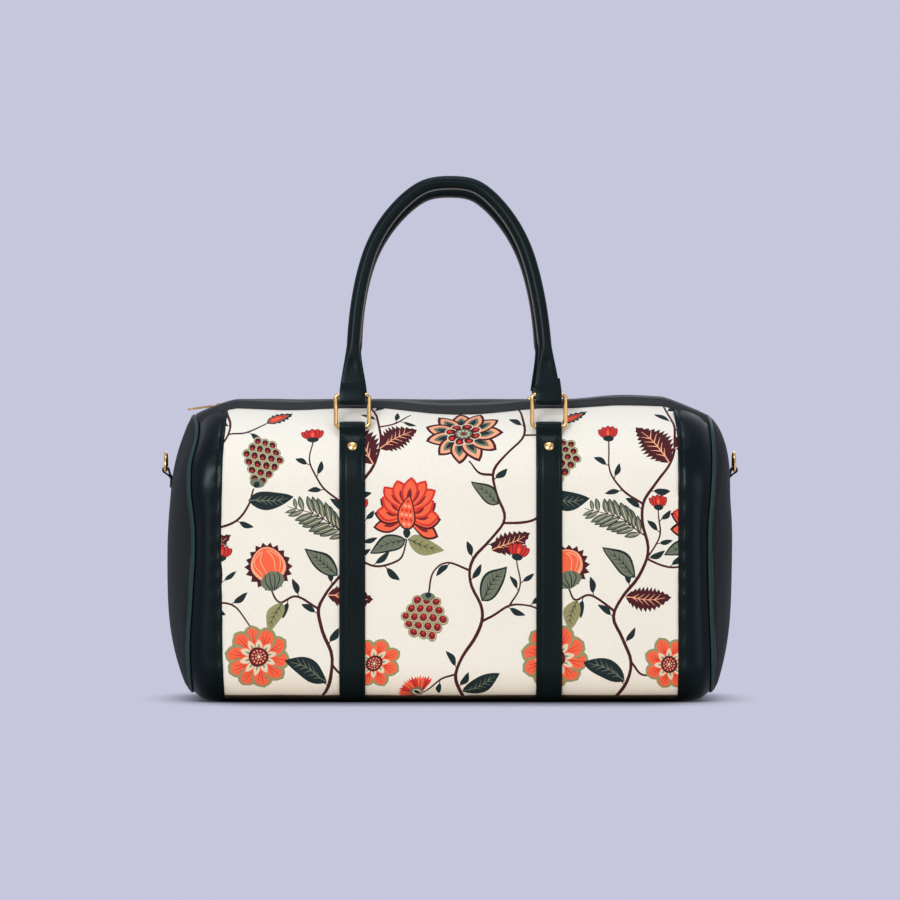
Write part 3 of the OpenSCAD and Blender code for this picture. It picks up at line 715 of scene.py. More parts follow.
def disc(radius, at=(0.0, 0.0), count=14):
    """A round spot."""
    a = np.arange(count) * 2 * np.pi / count
    return np.stack([np.cos(a), np.sin(a)], 1) * radius + np.array(at)


def spots(size, *rows):
    """Round spots one on another. Each row: radius and lift as shares of a size, corners and ink."""
    return [(disc(size * radius, (0, size * lift), count), ink) for radius, lift, count, ink in rows]


def whorl(shapes, count, first=0.0):
    """Copies of a motif turned round the middle."""
    angles = first + np.linspace(0, 360 * (1 - 1 / count), count)
    return [shape for a in angles for shape in place(shapes, turn=a)]


print(len(INKS), "inks")


# %% Leaves and buds
def leaf(length, width, fill, vein, bend=0.1, teeth=0, veins=5, rim=None):
    """A leaf: blade, inner field if it has a rim, midrib, and pairs of veins that stop inside the edge."""
    out = [(blade(length, width, 0.42, 0.9, bend, teeth), rim or fill)]
    if rim:
        out.append((blade(length * 0.9, width * 0.78, 0.42, 0.9, bend, teeth, 0.04 * length), fill))
    t = np.linspace(0, 0.86, 7)
    rib = np.stack([bend * length * np.sin(np.pi * t) ** 2 / 2, t * length], 1)
    out.append((brush(rib, 0.05 * width, 0.02 * width), vein))
    for t in np.linspace(0.16, 0.64, veins):
        x = bend * length * np.sin(np.pi * t) ** 2 / 2
        reach = 0.27 * width * np.sin(np.pi * (t + 0.07))
        for s in (-1, 1):
            tip = [x + s * reach, (t + 0.13) * length]
            line = curve([[x, t * length], [x + s * reach * 0.55, (t + 0.08) * length], tip], 3)
            out.append((brush(line, 0.045 * width, 0.012 * width), vein))
    return out


def sprig(length):
    """A small dark leaf on a short stalk."""
    stalk = brush([[0, -1], [0, 4]], 0.8, 0.8)
    return [(stalk, "teal"), (blade(length, length * 0.38, 0.45, 0.9, 0.12, up=3), "teal")]


def feather(length, pairs):
    """A feathered leaf: pairs of leaflets along a curved rib, longest in the middle."""
    rib = curve([(0, 0), (length * 0.04, length * 0.45), (-length * 0.02, length)], 12)
    out = []
    for t in np.linspace(0.12, 0.9, pairs):
        size = length * (0.3 * np.sin(np.pi * (0.18 + 0.74 * t)) + 0.03)
        leaflet = blades(size, (1, 0.34, 0.5, 0.8, 0, "teal"), (0.88, 0.24, 0.5, 0.8, 0.05, "sage"))
        leaflet.append((brush([[0, size * 0.1], [0, size * 0.7]], size * 0.03, size * 0.02), "pale"))
        for s in (-1, 1):
            out += place(leaflet, rib[int(t * (len(rib) - 1))], s * 46)
    return out + [(brush(rib, length * 0.022, length * 0.008), "maroon")]


def bud(length):
    """A red drop between two feathered sepals."""
    drop = blades(length, (0.8, 0.3, 0.4, 0.8, 0.06, "sage"), (0.74, 0.24, 0.4, 0.8, 0.08, "red"),
                  (0.46, 0.12, 0.4, 0.8, 0.16, "coral"))
    return [(blade(length, length * 0.44, 0.42, 0.8, 0, 6), "teal")] + drop


def small_bud(size):
    """Five narrow petals in a dark cup."""
    petal = blades(size, (1.5, 0.8, 0.55, 0.7, 0, "wine"), (1.3, 0.6, 0.55, 0.7, 0.09, "red"),
                   (0.75, 0.24, 0.55, 1.0, 0.27, "coral"))
    petals = [shape for a in (-42, 42, -22, 22, 0) for shape in place(petal, turn=a)]
    return petals + blades(size, (0.7, 1.1, 0.5, 0.6, -0.3, "teal"))


print("leaf of", len(leaf(40, 18, "teal", "sage")), "shapes")


# %% Flowers
def lotus(h):
    """An artichoke flower: three rows of pointed petals behind a seed heart."""
    out = []
    rows = ((9, 105, 0.56, 0.26, 0.20, "maroon"), (7, 80, 0.52, 0.27, 0.26, "red"),
            (5, 46, 0.56, 0.26, 0.36, "red"))
    for count, arc, length, width, lift, rim in rows:
        petal = blades(h, (length, width, 0.6, 0.85, 0, rim),
                       (0.86 * length, 0.74 * width, 0.6, 0.85, 0.06 * length, "coral"),
                       (0.5 * length, 0.3 * width, 0.6, 1.0, 0.18 * length, "wine"))
        angles = np.linspace(-arc, arc, count)
        for a in angles[np.argsort(-np.abs(angles))]:
            out += place(petal, (0, lift * h), a)
    out += blades(h, (0.6, 0.3, 0.4, 0.8, 0.04, "maroon"), (0.54, 0.25, 0.4, 0.8, 0.07, "coral"))
    for row, count in enumerate((2, 3, 3, 3, 2, 1)):
        for k in range(count):
            seed = ((k - (count - 1) / 2) * 0.07 * h, (0.15 + 0.075 * row) * h)
            out.append((disc(0.026 * h, seed, 8), ("peach", "red")[row % 2]))
    return out + blades(h, (0.16, 0.12, 0.5, 0.7, -0.06, "teal"))


def daisy(r, petals=10):
    """An open flower: edged petals with fine lines, pale inner petals and a dotted seed disc."""
    petal = blades(r, (1, 0.62, 0.66, 0.6, 0, "olive"), (0.86, 0.46, 0.66, 0.6, 0.06, "coral"))
    for s in (-1, 0, 1):
        line = [[s * r * 0.03, r * 0.4], [s * r * 0.12, r * (0.82 - 0.08 * abs(s))]]
        petal.append((brush(line, r * 0.04, r * 0.012), "red"))
    inner = blades(r, (0.62, 0.26, 0.6, 0.8, 0, "coral"), (0.53, 0.19, 0.6, 0.8, 0.04, "pale"),
                   (0.31, 0.08, 0.6, 1.0, 0.11, "olive"))
    heart = spots(r, (0.3, 0, 22, "maroon"), (0.25, 0, 22, "wine"))
    heart += whorl(spots(r, (0.028, 0.19, 6, "peach")), 12) + whorl(spots(r, (0.028, 0.1, 6, "peach")), 7)
    heart += spots(r, (0.05, 0, 8, "pale"))
    return whorl(petal, petals) + whorl(inner, petals, 180 / petals) + heart


def rosette(r, petals=11):
    """A star flower: pointed petals with dark eyes round a heart of scallops."""
    petal = blades(r, (1, 0.5, 0.56, 0.8, 0, "maroon"), (0.86, 0.39, 0.56, 0.8, 0.05, "peach"),
                   (0.5, 0.25, 0.5, 0.9, 0.28, "sage"), (0.36, 0.13, 0.5, 0.9, 0.32, "teal"))
    scallop = spots(r, (0.15, 0.31, 14, "pale"), (0.12, 0.31, 14, "maroon"), (0.06, 0.34, 10, "red"))
    heart = spots(r, (0.24, 0, 20, "maroon"), (0.2, 0, 20, "sage"))
    heart += whorl(spots(r, (0.032, 0.13, 6, "pale")), 9) + spots(r, (0.06, 0, 10, "wine"))
    return whorl(petal, petals) + whorl(scallop, 8, 22.5) + heart


def cone(h, rows, tips):
    """A cone of overlapping round scales, laid from the top row down, with a small cup."""
    step = h / (len(rows) + 0.6)
    scale = spots(step, (0.66, 0, 14, "olive"), (0.52, -0.04, 14, "pale"), (0.46, -0.04, 14, tips),
                  (0.16, -0.2, 7, "red"))
    out = []
    for i, count in enumerate(reversed(rows)):
        for k in range(count):
            out += place(scale, ((k - (count - 1) / 2) * step * 1.12, h - (i + 0.9) * step))
    return out + blades(h, (0.2, 0.3, 0.5, 0.6, -0.08, "sage"), (0.14, 0.12, 0.5, 0.6, -0.08, "teal"))


def pomegranate(r):
    """A fruit: a toothed husk open on a bright heart, with a ribbed cap below."""
    a = np.arange(36) * np.pi / 18
    teeth = r * np.where(np.arange(36) % 2 == 0, 1.0, 0.82)
    out = [(np.stack([np.sin(a), np.cos(a)], 1) * teeth[:, None], "maroon")]
    out += spots(r, (0.72, 0.06, 24, "peach"), (0.62, 0.1, 24, "coral"))
    for k in (-0.5, -0.25, 0.25, 0.5):
        path = curve([(k * r * 0.4, r * 0.62), (k * r * 1.1, r * 0.25), (k * r * 0.7, -r * 0.3)], 5)
        out.append((brush(path, r * 0.05, r * 0.03), "peach"))
    out += blades(r, (0.8, 1, 0.5, 0.6, -1.02, "sage"))
    for k in (-0.3, -0.1, 0.1, 0.3):
        path = curve([(k * r * 0.3, -r * 0.96), (k * r, -r * 0.6), (k * r * 0.8, -r * 0.32)], 4)
        out.append((brush(path, r * 0.05, r * 0.03), "teal"))
    return out


def fan(r):
    """A pink: toothed wedges spread over a ribbed cup."""
    side = np.array([[0.18, 0.8], [0.14, 0.98], [0.06, 0.86]])
    edge = np.vstack([[[0, 0]], side, [[0, 1.04]], side[::-1] * [-1, 1]]) * r
    line = (brush([[0, r * 0.3], [0, r * 0.8]], r * 0.05, r * 0.02), "wine")
    out = []
    for i, a in enumerate(np.linspace(-66, 66, 7)):
        out += place([(edge, ("red", "coral")[i % 2]), line], turn=a)
    return out + blades(r, (0.62, 0.66, 0.6, 0.7, -0.12, "sage"), (0.5, 0.36, 0.6, 0.8, -0.1, "pale"),
                        (0.44, 0.2, 0.6, 0.8, -0.08, "teal"))


print("rosette of", len(rosette(35)), "shapes")


# %% [markdown]
# ## The print: layout
# A printed cloth repeats. One repeat is 264 mm wide, with two climbing vines. Their twigs end in flowers,
# and small leaves sit on them at chosen shares of their length, to one side or the other. A slow wobble
# over the whole cloth keeps two repeats from being the same, as in hand printing.

# %% Layout of the vine
REPEAT = 264.0
SPRIG_TURN = 52
# Each vine: its points in mm, shares of small leaves (the sign is the side), both widths, leaf length
VINES = [
    ([(8, -12), (26, 36), (12, 84), (42, 130), (36, 176), (62, 212), (66, 250), (58, 290)],
     (0.08, -0.2, 0.27, 0.36, -0.44, 0.56, -0.62, 0.9, -0.95), 3.2, 2.0, 15),
    ([(12, 84), (-8, 96), (-22, 92), (-30, 104)], (-0.3, 0.5), 2.4, 1.4, 15),
    ([(26, 36), (36, 26), (50, 26)], (), 2.2, 1.4, 15),
    ([(42, 130), (64, 122), (84, 128), (90, 146)], (0.3, -0.45), 2.2, 1.4, 15),
    ([(36, 176), (16, 192), (6, 212), (8, 236)], (0.3, -0.5, 0.7), 2.0, 1.2, 13),
    ([(146, -12), (134, 28), (158, 74), (146, 118), (176, 160), (168, 204), (194, 244), (190, 290)],
     (-0.1, 0.17, -0.4, 0.47, -0.52, 0.66, -0.7, 0.9), 3.2, 2.0, 15),
    ([(158, 74), (182, 88), (204, 86), (216, 70)], (-0.3, 0.6), 2.4, 1.4, 15),
    ([(146, 118), (128, 126), (114, 118), (110, 98)], (0.3,), 2.2, 1.4, 15),
    ([(176, 160), (202, 162), (216, 178), (220, 192)], (-0.4,), 2.4, 1.4, 15),
    ([(168, 204), (156, 206), (146, 216)], (), 2.4, 1.4, 15),
    ([(194, 244), (212, 244), (230, 256)], (-0.5,), 2.0, 1.4, 15),
    ([(134, 28), (120, 22), (106, 8)], (0.5,), 2.0, 1.4, 12),
    ([(182, 88), (192, 106), (190, 128)], (0.4, -0.6), 1.8, 1.1, 12),
    ([(66, 250), (84, 258), (96, 272)], (0.45, -0.6), 1.8, 1.1, 12),
    ([(42, 130), (52, 150), (50, 172)], (-0.35, 0.6, -0.8), 1.8, 1.1, 12),
]
# Each motif: its shapes, where its foot stands, and its turn in degrees
MOTIFS = [
    (leaf(48, 26, "maroon", "peach", 0.1, 12), (62, 214), 38),
    (leaf(42, 22, "maroon", "peach", -0.1, 11), (66, 228), -56),
    (leaf(42, 19, "teal", "sage", 0.12), (20, 20), 64),
    (leaf(38, 18, "sage", "teal", 0.1, 0, 5, "teal"), (30, 114), 50),
    (leaf(42, 21, "maroon", "peach", 0.08, 11), (20, 96), -94),
    (feather(60, 9), (40, 150), 64),
    (leaf(40, 18, "sage", "teal", -0.1, 0, 5, "teal"), (156, 92), -40),
    (leaf(40, 18, "teal", "sage", 0.1), (139, 8), -62),
    (leaf(30, 14, "olive", "teal", 0.1, 0, 4), (-20, 92), 160),
    (leaf(34, 16, "sage", "teal", 0.1, 0, 4, "teal"), (89, 146), 112),
    (leaf(34, 16, "olive", "teal", 0.1, 0, 4), (91, 146), -104),
    (leaf(38, 18, "teal", "sage", 0.1), (216, 182), -88),
    (leaf(36, 18, "maroon", "peach", 0.1, 9), (167, 136), -64),
    (leaf(32, 15, "sage", "teal", 0.1, 0, 4, "teal"), (172, 178), 50),
    (lotus(56), (90, 150), -6),
    (rosette(35), (142, 247), 8),
    (daisy(30), (222, 42), 10),
    (pomegranate(21), (-32, 122), 14),
    (cone(44, (2, 3, 4, 5, 4, 3), "maroon"), (222, 196), -10),
    (cone(42, (3, 4, 5, 4, 3), "wine"), (110, 96), 172),
    (daisy(24, 8), (62, 36), -20),
    (bud(28), (230, 256), -54),
    (small_bud(9), (8, 238), 4),
    (small_bud(9), (190, 130), -6),
    (fan(20), (104, 6), 50),
    (small_bud(8), (50, 174), 6),
]


def one_repeat():
    """The shapes of one repeat: vines first, then their small leaves, then the larger motifs."""
    out = []
    for points, shares, start, stop, length in VINES:
        path = curve(points)
        step = np.gradient(path, axis=0)
        for share in shares:
            i = int(abs(share) * (len(path) - 1))
            along = np.degrees(np.arctan2(step[i, 1], step[i, 0])) - 90
            out += place(sprig(length), path[i], along + np.sign(share) * SPRIG_TURN)
        out.append((brush(path, start, stop), "maroon"))
    for shapes, at, turn in MOTIFS:
        out += place(shapes, at, turn)
    return out


def wobble(p):
    """A slow uneven shift of a millimetre or so, from sums of sines."""
    x, y = p.T
    dx = 1.1 * np.sin(0.071 * y + 0.043 * x) + 0.5 * np.sin(0.19 * y - 0.11 * x)
    dy = 1.1 * np.sin(0.063 * x - 0.051 * y) + 0.5 * np.sin(0.17 * x + 0.13 * y)
    return p + np.stack([dx, dy], 1)


def printed_shapes(half, height, shift):
    """The repeats that reach a cloth of that half width and height, each shape wobbled."""
    out = []
    for k in range(-3, 4):
        moved = [(points + [k * REPEAT + shift, 0], ink) for points, ink in one_repeat()]
        out += [(wobble(points), ink) for points, ink in moved
                if np.all(points.max(0) > [-half, 0]) and np.all(points.min(0) < [half, height])]
    return out


print("one repeat has", len(one_repeat()), "shapes")


# %% [markdown]
# ## The canvas panels
# The print has to be part of the mesh, because no picture is used. A constrained triangulation cuts the
# flat cloth along every outline at once. The shapes then paint the triangles they cover, one after
# another, so that the last one shows. A grid of extra points makes the cloth fine enough to bend. The
# flat map is then wrapped round the front and the back. Both panels are cut from the same place of the
# repeat, so one map serves both.

# %% Flat map of the printed cloth
CLOTH_STEP = 5.0
CLOTH_HALF = BAND_X + 0.5
CLOTH_HEIGHT = FACING_SEAM - BASE_SEAM + 1.0
PRINT_SHIFT = -130.0
MERGE_BELOW = 1e-4


def inside(points, polygon):
    """Which points lie in a polygon: a ray to the right crosses its sides an odd number of times."""
    a = polygon
    b = np.roll(polygon, -1, axis=0)
    x, y = np.hsplit(points, 2)
    straddles = (a[:, 1] > y) != (b[:, 1] > y)
    rise = np.where(a[:, 1] == b[:, 1], 1.0, b[:, 1] - a[:, 1])
    crossing = a[:, 0] + (y - a[:, 1]) / rise * (b[:, 0] - a[:, 0])
    return np.sum(straddles & (x < crossing), axis=1) % 2 == 1


def compact(points, faces):
    """Only the points that the triangles use, and the triangles numbered to match."""
    used, numbered = np.unique(faces, return_inverse=True)
    return points[used], numbered.reshape(-1, 3)


def flat_print():
    """Triangles of the printed cloth as (points in mm, faces, ink of each face)."""
    shapes = printed_shapes(CLOTH_HALF, CLOTH_HEIGHT, PRINT_SHIFT)
    columns = np.linspace(-CLOTH_HALF, CLOTH_HALF, int(2 * CLOTH_HALF / CLOTH_STEP) + 1)
    rows = np.linspace(0, CLOTH_HEIGHT, int(CLOTH_HEIGHT / CLOTH_STEP) + 1)
    grid = np.stack(np.meshgrid(columns, rows), -1).reshape(-1, 2)
    count = np.arange(len(grid)).reshape(len(rows), len(columns))
    border = np.concatenate([count[0, :-1], count[:-1, -1], count[-1, :0:-1], count[:0:-1, 0]])
    # Every side of every shape is an edge that the triangles have to keep
    starts = len(grid) + np.cumsum([0] + [len(points) for points, ink in shapes])
    loops = [np.arange(a, b) for a, b in zip(starts[:-1], starts[1:])]
    edges = np.concatenate([np.stack([loop, np.roll(loop, -1)], 1) for loop in loops])
    corners = np.vstack([grid] + [points for points, ink in shapes])
    places = [Vector(p) for p in corners.tolist()]
    made = delaunay_2d_cdt(places, edges.tolist(), [border.tolist()], 1, MERGE_BELOW, False)
    flat, faces = compact(np.array([tuple(p) for p in made[0]]), np.array(made[2]))
    # Shapes cut by the border leave triangles outside it, which are dropped
    half = np.array([CLOTH_HALF, CLOTH_HEIGHT / 2])
    within = np.all(np.abs(flat[faces].mean(1) - [0.0, half[1]]) < half, axis=1)
    flat, faces = compact(flat, faces[within])
    # Paint the shapes in order, each on the triangles whose middles it covers
    middles = flat[faces].mean(1)
    inks = np.tile(INKS["cream"], (len(faces), 1))
    for points, ink in shapes:
        near = np.all((middles > points.min(0)) & (middles < points.max(0)), axis=1).nonzero()[0]
        inks[near[inside(middles[near], points)]] = INKS[ink]
    return flat, faces, inks


cloth_points, cloth_faces, cloth_inks = flat_print()
print("printed cloth:", len(cloth_points), "points,", len(cloth_faces), "triangles")


# %% Wrap the cloth round the front and the back
CANVAS_WALL = 1.6


def canvas_panel(name, side):
    """The flat map on the body: its width, seen from outside, is x, and its height is the girth from the
    base seam on."""
    x = -side * cloth_points[:, 0]
    girth = side * (BASE_SEAM + cloth_points[:, 1])
    count = len(cloth_points)
    points = np.vstack([outline(x, girth), outline(x, girth, -CANVAS_WALL)])
    faces = cloth_faces
    edges = np.sort(np.concatenate([faces[:, [0, 1]], faces[:, [1, 2]], faces[:, [2, 0]]]), 1)
    rim, uses = np.unique(edges, axis=0, return_counts=True)
    rim = rim[uses == 1]
    walls = np.stack([rim[:, 0], rim[:, 1], rim[:, 1] + count, rim[:, 0] + count], 1)
    every = faces.tolist() + (faces[:, ::-1] + count).tolist() + walls.tolist()
    piece = new_mesh(name, points, every, CANVAS)
    corners = np.array([3] * (2 * len(faces)) + [4] * len(walls))
    plain = np.tile(INKS["cream"], (len(faces) + len(walls), 1))
    colours = np.repeat(np.vstack([cloth_inks, plain]), corners, axis=0)
    ink = piece.data.color_attributes.new("ink", "FLOAT_COLOR", "CORNER")
    ink.data.foreach_set("color", np.hstack([colours, np.ones((len(colours), 1))]).ravel())
    place_on = np.zeros(len(piece.data.loops), int)
    piece.data.loops.foreach_get("vertex_index", place_on)
    flat = piece.data.uv_layers.new(name="cloth")
    flat.uv.foreach_set("vector", (np.vstack([cloth_points, cloth_points])[place_on] * MM).ravel())
    return piece


for panel, side in BOTH_FACES:
    piece = canvas_panel(panel + "_canvas", side)
    dress(piece, "bag", "printed_canvas", panel + "_panel")
    print(piece.name, "with", len(piece.data.polygons), "faces")


# %% [markdown]
# ## Leather bands, piping and end panels
# A leather band covers the canvas edge at each end. Its section is a flat strip with a folded edge, a row
# of stitches and a soft swelling, carried round the girth. The piping is a thin tube in the end seam. The
# end panel is a dome: its outlines go from the bag's outline at the rim to a circle at the middle.

# %% Bands and piping
BAND_LAP = 1.4
BAND_RISE = 1.35
BAND_FOLD = 1.3
BAND_GROOVE = 4.4
BAND_SWELL = 0.7
BAND_TUCK = 1.3
BAND_INSIDE = -1.5
SEAM_TUCK = 4
ROUND = np.linspace(-GIRTHS[4], GIRTHS[4], 320, endpoint=False)


def closed_section(x, outer, inner):
    """A closed loop of places and offsets: out along the outer side and back along an even inner side."""
    return np.concatenate([x, x[::-1]]), np.concatenate([outer, np.full(len(x), inner)])


def end_band(name, side):
    """The band's section follows the whole girth, from the front facing seam to the back one."""
    x = np.linspace(BAND_X - BAND_LAP, STOP_X, 34)
    run = x - x[0]
    across = run / run[-1]
    fold = BAND_RISE * quarter(run / BAND_FOLD) - 0.15
    groove = -0.45 * dent((run - BAND_GROOVE) / 0.9)
    swell = BAND_SWELL * hump((across - 0.56) / 0.46) - BAND_TUCK * ease((across - 0.72) / 0.28)
    section_x, section_out = closed_section(x, fold + groove + swell, BAND_INSIDE)
    girth = np.linspace(-FACING_SEAM - SEAM_TUCK, FACING_SEAM + SEAM_TUCK, 300)[:, None]
    pucker = 0.22 * np.sin(girth / 3.1 + 1.3 * np.sin(girth / 17.0)) * dent((section_x - x[0] - 4) / 5)
    return tube(name, outline(side * section_x, girth, section_out + pucker * (section_out > -1)), TRIM)


def piping(name, side):
    """A round tube on the end seam."""
    a = round_angles(14)
    x = side * (SEAM_X + PIPING_RADIUS * np.sin(a))
    return tube(name, outline(x, ROUND[:, None], PIPING_RADIUS * np.cos(a)), PIPING, True)


for end, side in BOTH_ENDS:
    dress(end_band(end + "_end_band", side), "bag", "trim_leather", end + "_band")
    dress(piping(end + "_seam_piping", side), "bag", "piping_leather", end + "_piping")
print("2 bands and 2 pipings")


# %% End panels
RIM_X = box_mm("right_end_panel")[0][0]
END_BULGE = span_mm("right_end_panel", 0)
BULGE_Z = 118.0
BULGE_POWER = 2.3
END_WALL = 1.6
END_RADIUS = TOP_Z - END_DROP - BULGE_Z
RIM_OUT = 0.4
RIM_TUCK = 0.8
CREASE_DEPTH = 0.35
CREASES = 9
FLAT_HALF = 44.0
# Humps over the height in mm at the left and the right end: the full corners, then the flat middle
STUFFING = {
    -1: ((2.8, 217.0, 52.0), (-1.4, 110.0, 95.0)),
    1: ((6.2, 235.0, 62.0), (-2.4, 100.0, 90.0)),
}


def stuffing(y, z, side):
    """How unevenly the end is stuffed, in mm: full in the upper corners, flat in the middle, the right end
    more so. Under the zip's end, where the D ring can fall against the panel, there is no such fullness."""
    (height, at, reach), middle = STUFFING[side]
    corners = np.square(1 - hump(y / FLAT_HALF))
    return height * corners * hump((z - at) / reach) + bumps(z, middle)


def end_face(z, side):
    """How far out the end panel stands in its middle plane at a height z."""
    share = np.abs(z - BULGE_Z) / END_RADIUS
    return RIM_X + END_BULGE * (1 - share**BULGE_POWER) + stuffing(0.0, z, side)


def end_panel(name, side):
    """A dome over the end outline: x rises by 1 - share^power, and contours blend from the rim's to a
    circle."""
    rim = outline(side * SEAM_X, ROUND, RIM_OUT)
    stray = (rim[:, 0] - side * SEAM_X)[None, :]
    middle = np.array([0.0, BULGE_Z])
    away = rim[:, 1:] - middle
    share = np.sin(np.linspace(np.pi / 2, 0, 34)[:-1])[:, None, None]
    reach = np.linalg.norm(away, axis=1)[None, :, None]
    yz = middle + away[None] * share * (share + (1 - share) * END_RADIUS / reach)
    share = share[:, :, 0]
    x = RIM_X + END_BULGE * (1 - share**BULGE_POWER) - RIM_TUCK * hump((share - 1) / 0.06)
    x = x + stuffing(yz[:, :, 0], yz[:, :, 1], side) * np.sqrt(1 - share**8)
    around = np.arctan2(away[:, 0], away[:, 1])
    crease = CREASE_DEPTH * np.sin(CREASES * around)[None] * hump((share - 0.93) / 0.14)
    shell = np.stack([side * (x + crease) + stray * share**4, yz[:, :, 0], yz[:, :, 1]], -1)
    inner = shell - np.array([side * END_WALL, 0, 0])
    rows, columns = shell.shape[:2]
    count = rows * columns
    tips = np.array([[side * (end_face(BULGE_Z, side) - t), 0, BULGE_Z] for t in (0, END_WALL)])
    faces = grid_faces(rows, columns, False, True)
    edge = np.arange(columns)
    after = np.roll(edge, -1)
    crown = np.stack([edge, after, np.full(columns, columns)], 1) + count - columns
    crowns = [crown + [[0, 0, count]], crown + [[count, count, count + 1]]]
    rim_faces = np.stack([edge, after, after + count, edge + count], 1)
    every = [f.tolist() for f in (faces, faces + count, *crowns, rim_faces)]
    points = np.vstack([shell.reshape(-1, 3), inner.reshape(-1, 3), tips])
    return new_mesh(name, points, sum(every, []), ENDS)


for end, side in BOTH_ENDS:
    dress(end_panel(end + "_end_dome", side), "bag", "trim_leather", end + "_end_panel")
print("end panels bulge", round(END_BULGE, 1), "mm")


# %% [markdown]
# ## Base, zip facings, tapes and lining
# The base is plain leather between the two panels. The facings are soft: they puff up between the canvas
# seam and the row of stitches beside the zip. The tapes are flat woven strips. The lining is a thin cloth
# box.

# %% Base and facings
BASE_EDGE = BASE_SEAM + 2
BASE_RISE = 0.5
BASE_SINK = 0.2
# Humps of a facing in mm, from the canvas seam on: height, place and reach
FACING_PUFFS = ((3.0, 9.5, 10.5), (0.8, 24, 16))
FACING_ROW = 5.0


def base_strip():
    """Leather base with its edges lapped over the canvas."""
    girth = np.linspace(-BASE_EDGE, BASE_EDGE, 90)
    edge = quarter((BASE_EDGE - np.abs(girth)) / 1.2)
    flat = np.abs(girth) < GIRTHS[0] - 4
    across, out = closed_section(girth, BASE_RISE * edge - BASE_SINK * flat, -1.5)
    x = np.linspace(-BAND_X - 1, BAND_X + 1, 120)[:, None]
    return tube("base_leather", outline(x, across, out), BASE)


def zip_facing(name, side):
    """A soft roll from the canvas seam to the zip: puffed in the middle, stitched down beside the zip."""
    girth = np.linspace(FACING_SEAM - 1.5, GIRTHS[4] - ZIP_EDGE, 60)
    t = girth - girth[0]
    fold = quarter(t / 2.0) * quarter((t[-1] - t) / 1.2)
    puff = bumps(t, *FACING_PUFFS) - 0.5 * dent((t - t[-1] + FACING_ROW) / 1.2)
    across, out = closed_section(girth, -0.6 + 1.5 * fold + puff, -1.7)
    x = np.linspace(-STOP_X, STOP_X, 230)[:, None]
    gather = 0.3 * np.sin(x / 4.3 + 1.7 * np.sin(x / 19.0)) + 0.25 * np.sin(x / 9.1)
    near = dent((across - girth[0] - 6) / 7) * (out > -1)
    return tube(name, outline(x, side * across, out + gather * near), FACING)


dress(base_strip(), "bag", "trim_leather", "base_panel")
for panel, side in BOTH_FACES:
    dress(zip_facing(panel + "_puffed_facing", side), "bag", "trim_leather", panel + "_zip_facing")
print("base and 2 facings")


# %% Zip tapes and lining
TAPE_TOP = -2.2
TAPE_UNDER = -3.0
TAPE_CORD = 0.35
LINING_OFFSET = -4.4
LINING_WALL = 0.7 * MM
DIP_HALF = 9.5
DIP_DEPTH = 6.5


def zip_tape(name, node):
    """A flat strip under the facing with a thicker edge beside the teeth, bent down with the top at its
    ends."""
    low, high = box_mm(node)
    side = np.sign(low[1] + high[1])
    near, far = sorted((abs(low[1]), abs(high[1])))
    y = np.linspace(near, far, 16)
    top = TAPE_TOP + TAPE_CORD * hump((y - near - 0.8) / 0.8)
    section_y, section_z = closed_section(y, top, TAPE_UNDER)
    x = np.linspace(low[0], high[0], 160)[:, None]
    z = top_height(x, section_y) + section_z
    return tube(name, np.stack(np.broadcast_arrays(x, side * section_y, z), -1), TAPE)


def lining_box():
    """A straight wall with the outline that the ends have, open along the zip; its flat ends dip under the
    slider."""
    x = np.linspace(*[corner[0] for corner in box_mm("lining")], 60)
    girth = np.linspace(-GIRTHS[4] + ZIP_EDGE + 2, GIRTHS[4] - ZIP_EDGE - 2, 150)
    section = outline(x[-1], girth, LINING_OFFSET, False)[:, 1:]
    columns = [np.broadcast_to(c, (len(x), len(girth))) for c in (x[:, None], section[:, 0], section[:, 1])]
    wall = np.stack(columns, -1).reshape(-1, 3)
    dip_z = top_height(0.0, 0.0) - DIP_DEPTH
    dips = np.array([[x[k], s * DIP_HALF, dip_z] for k in (0, -1) for s in (1, -1)])
    count = len(wall)
    ends = [[*range(len(girth)), count, count + 1],
            [*range(count - len(girth), count), count + 2, count + 3]]
    faces = grid_faces(len(x), len(girth)).tolist() + ends
    piece = new_mesh("lining_box", np.vstack([wall, dips]), faces, LINING)
    thicken = piece.modifiers.new("cloth", "SOLIDIFY")
    thicken.thickness = LINING_WALL
    thicken.offset = -1.0
    return piece


for panel in ("front", "back"):
    dress(zip_tape(panel + "_tape", panel + "_zip_tape"), "bag", "zip_tape", panel + "_zip_tape")
dress(lining_box(), "bag", "lining_cloth", "lining")
print("2 tapes and the lining")


# %% [markdown]
# ## Straps
# A strap is one long piece of leather: round the front ring's bar, down the front, under the base and up
# to the back ring. Its section has soft edges, a raised padded middle and a groove for each row of
# stitches. The path is worked out in the plane across the bag, and the section is carried along it.

# %% Strap path and section
RING_BAR = joint_mm("front_ring_swing")[1:]
ROLL_MIDDLE = np.array([-(HALF_DEPTH - TOP_RADIUS), TOP_Z - TOP_RADIUS])
STRAP_THICK = 2.4
STRAP_SEAT = 0.2
STRAP_STEP = 2.2
BAR_RADIUS = span_mm("front_left_ring", 1) / 2
LOOP_MIDDLE = BAR_RADIUS + 0.2 + STRAP_THICK / 2
STITCH_ANGLE = np.radians(34.5)
STITCH_ROW = STRAP_WIDTH / 2 - 3.4
PAD_RISE = 0.75
PAD_SLOPE = 2.2
GROOVE_DEPTH = 0.6
GROOVE_HALF = 0.6
CROSS_DEPTH = 0.5
CROSS_HALF = 0.7


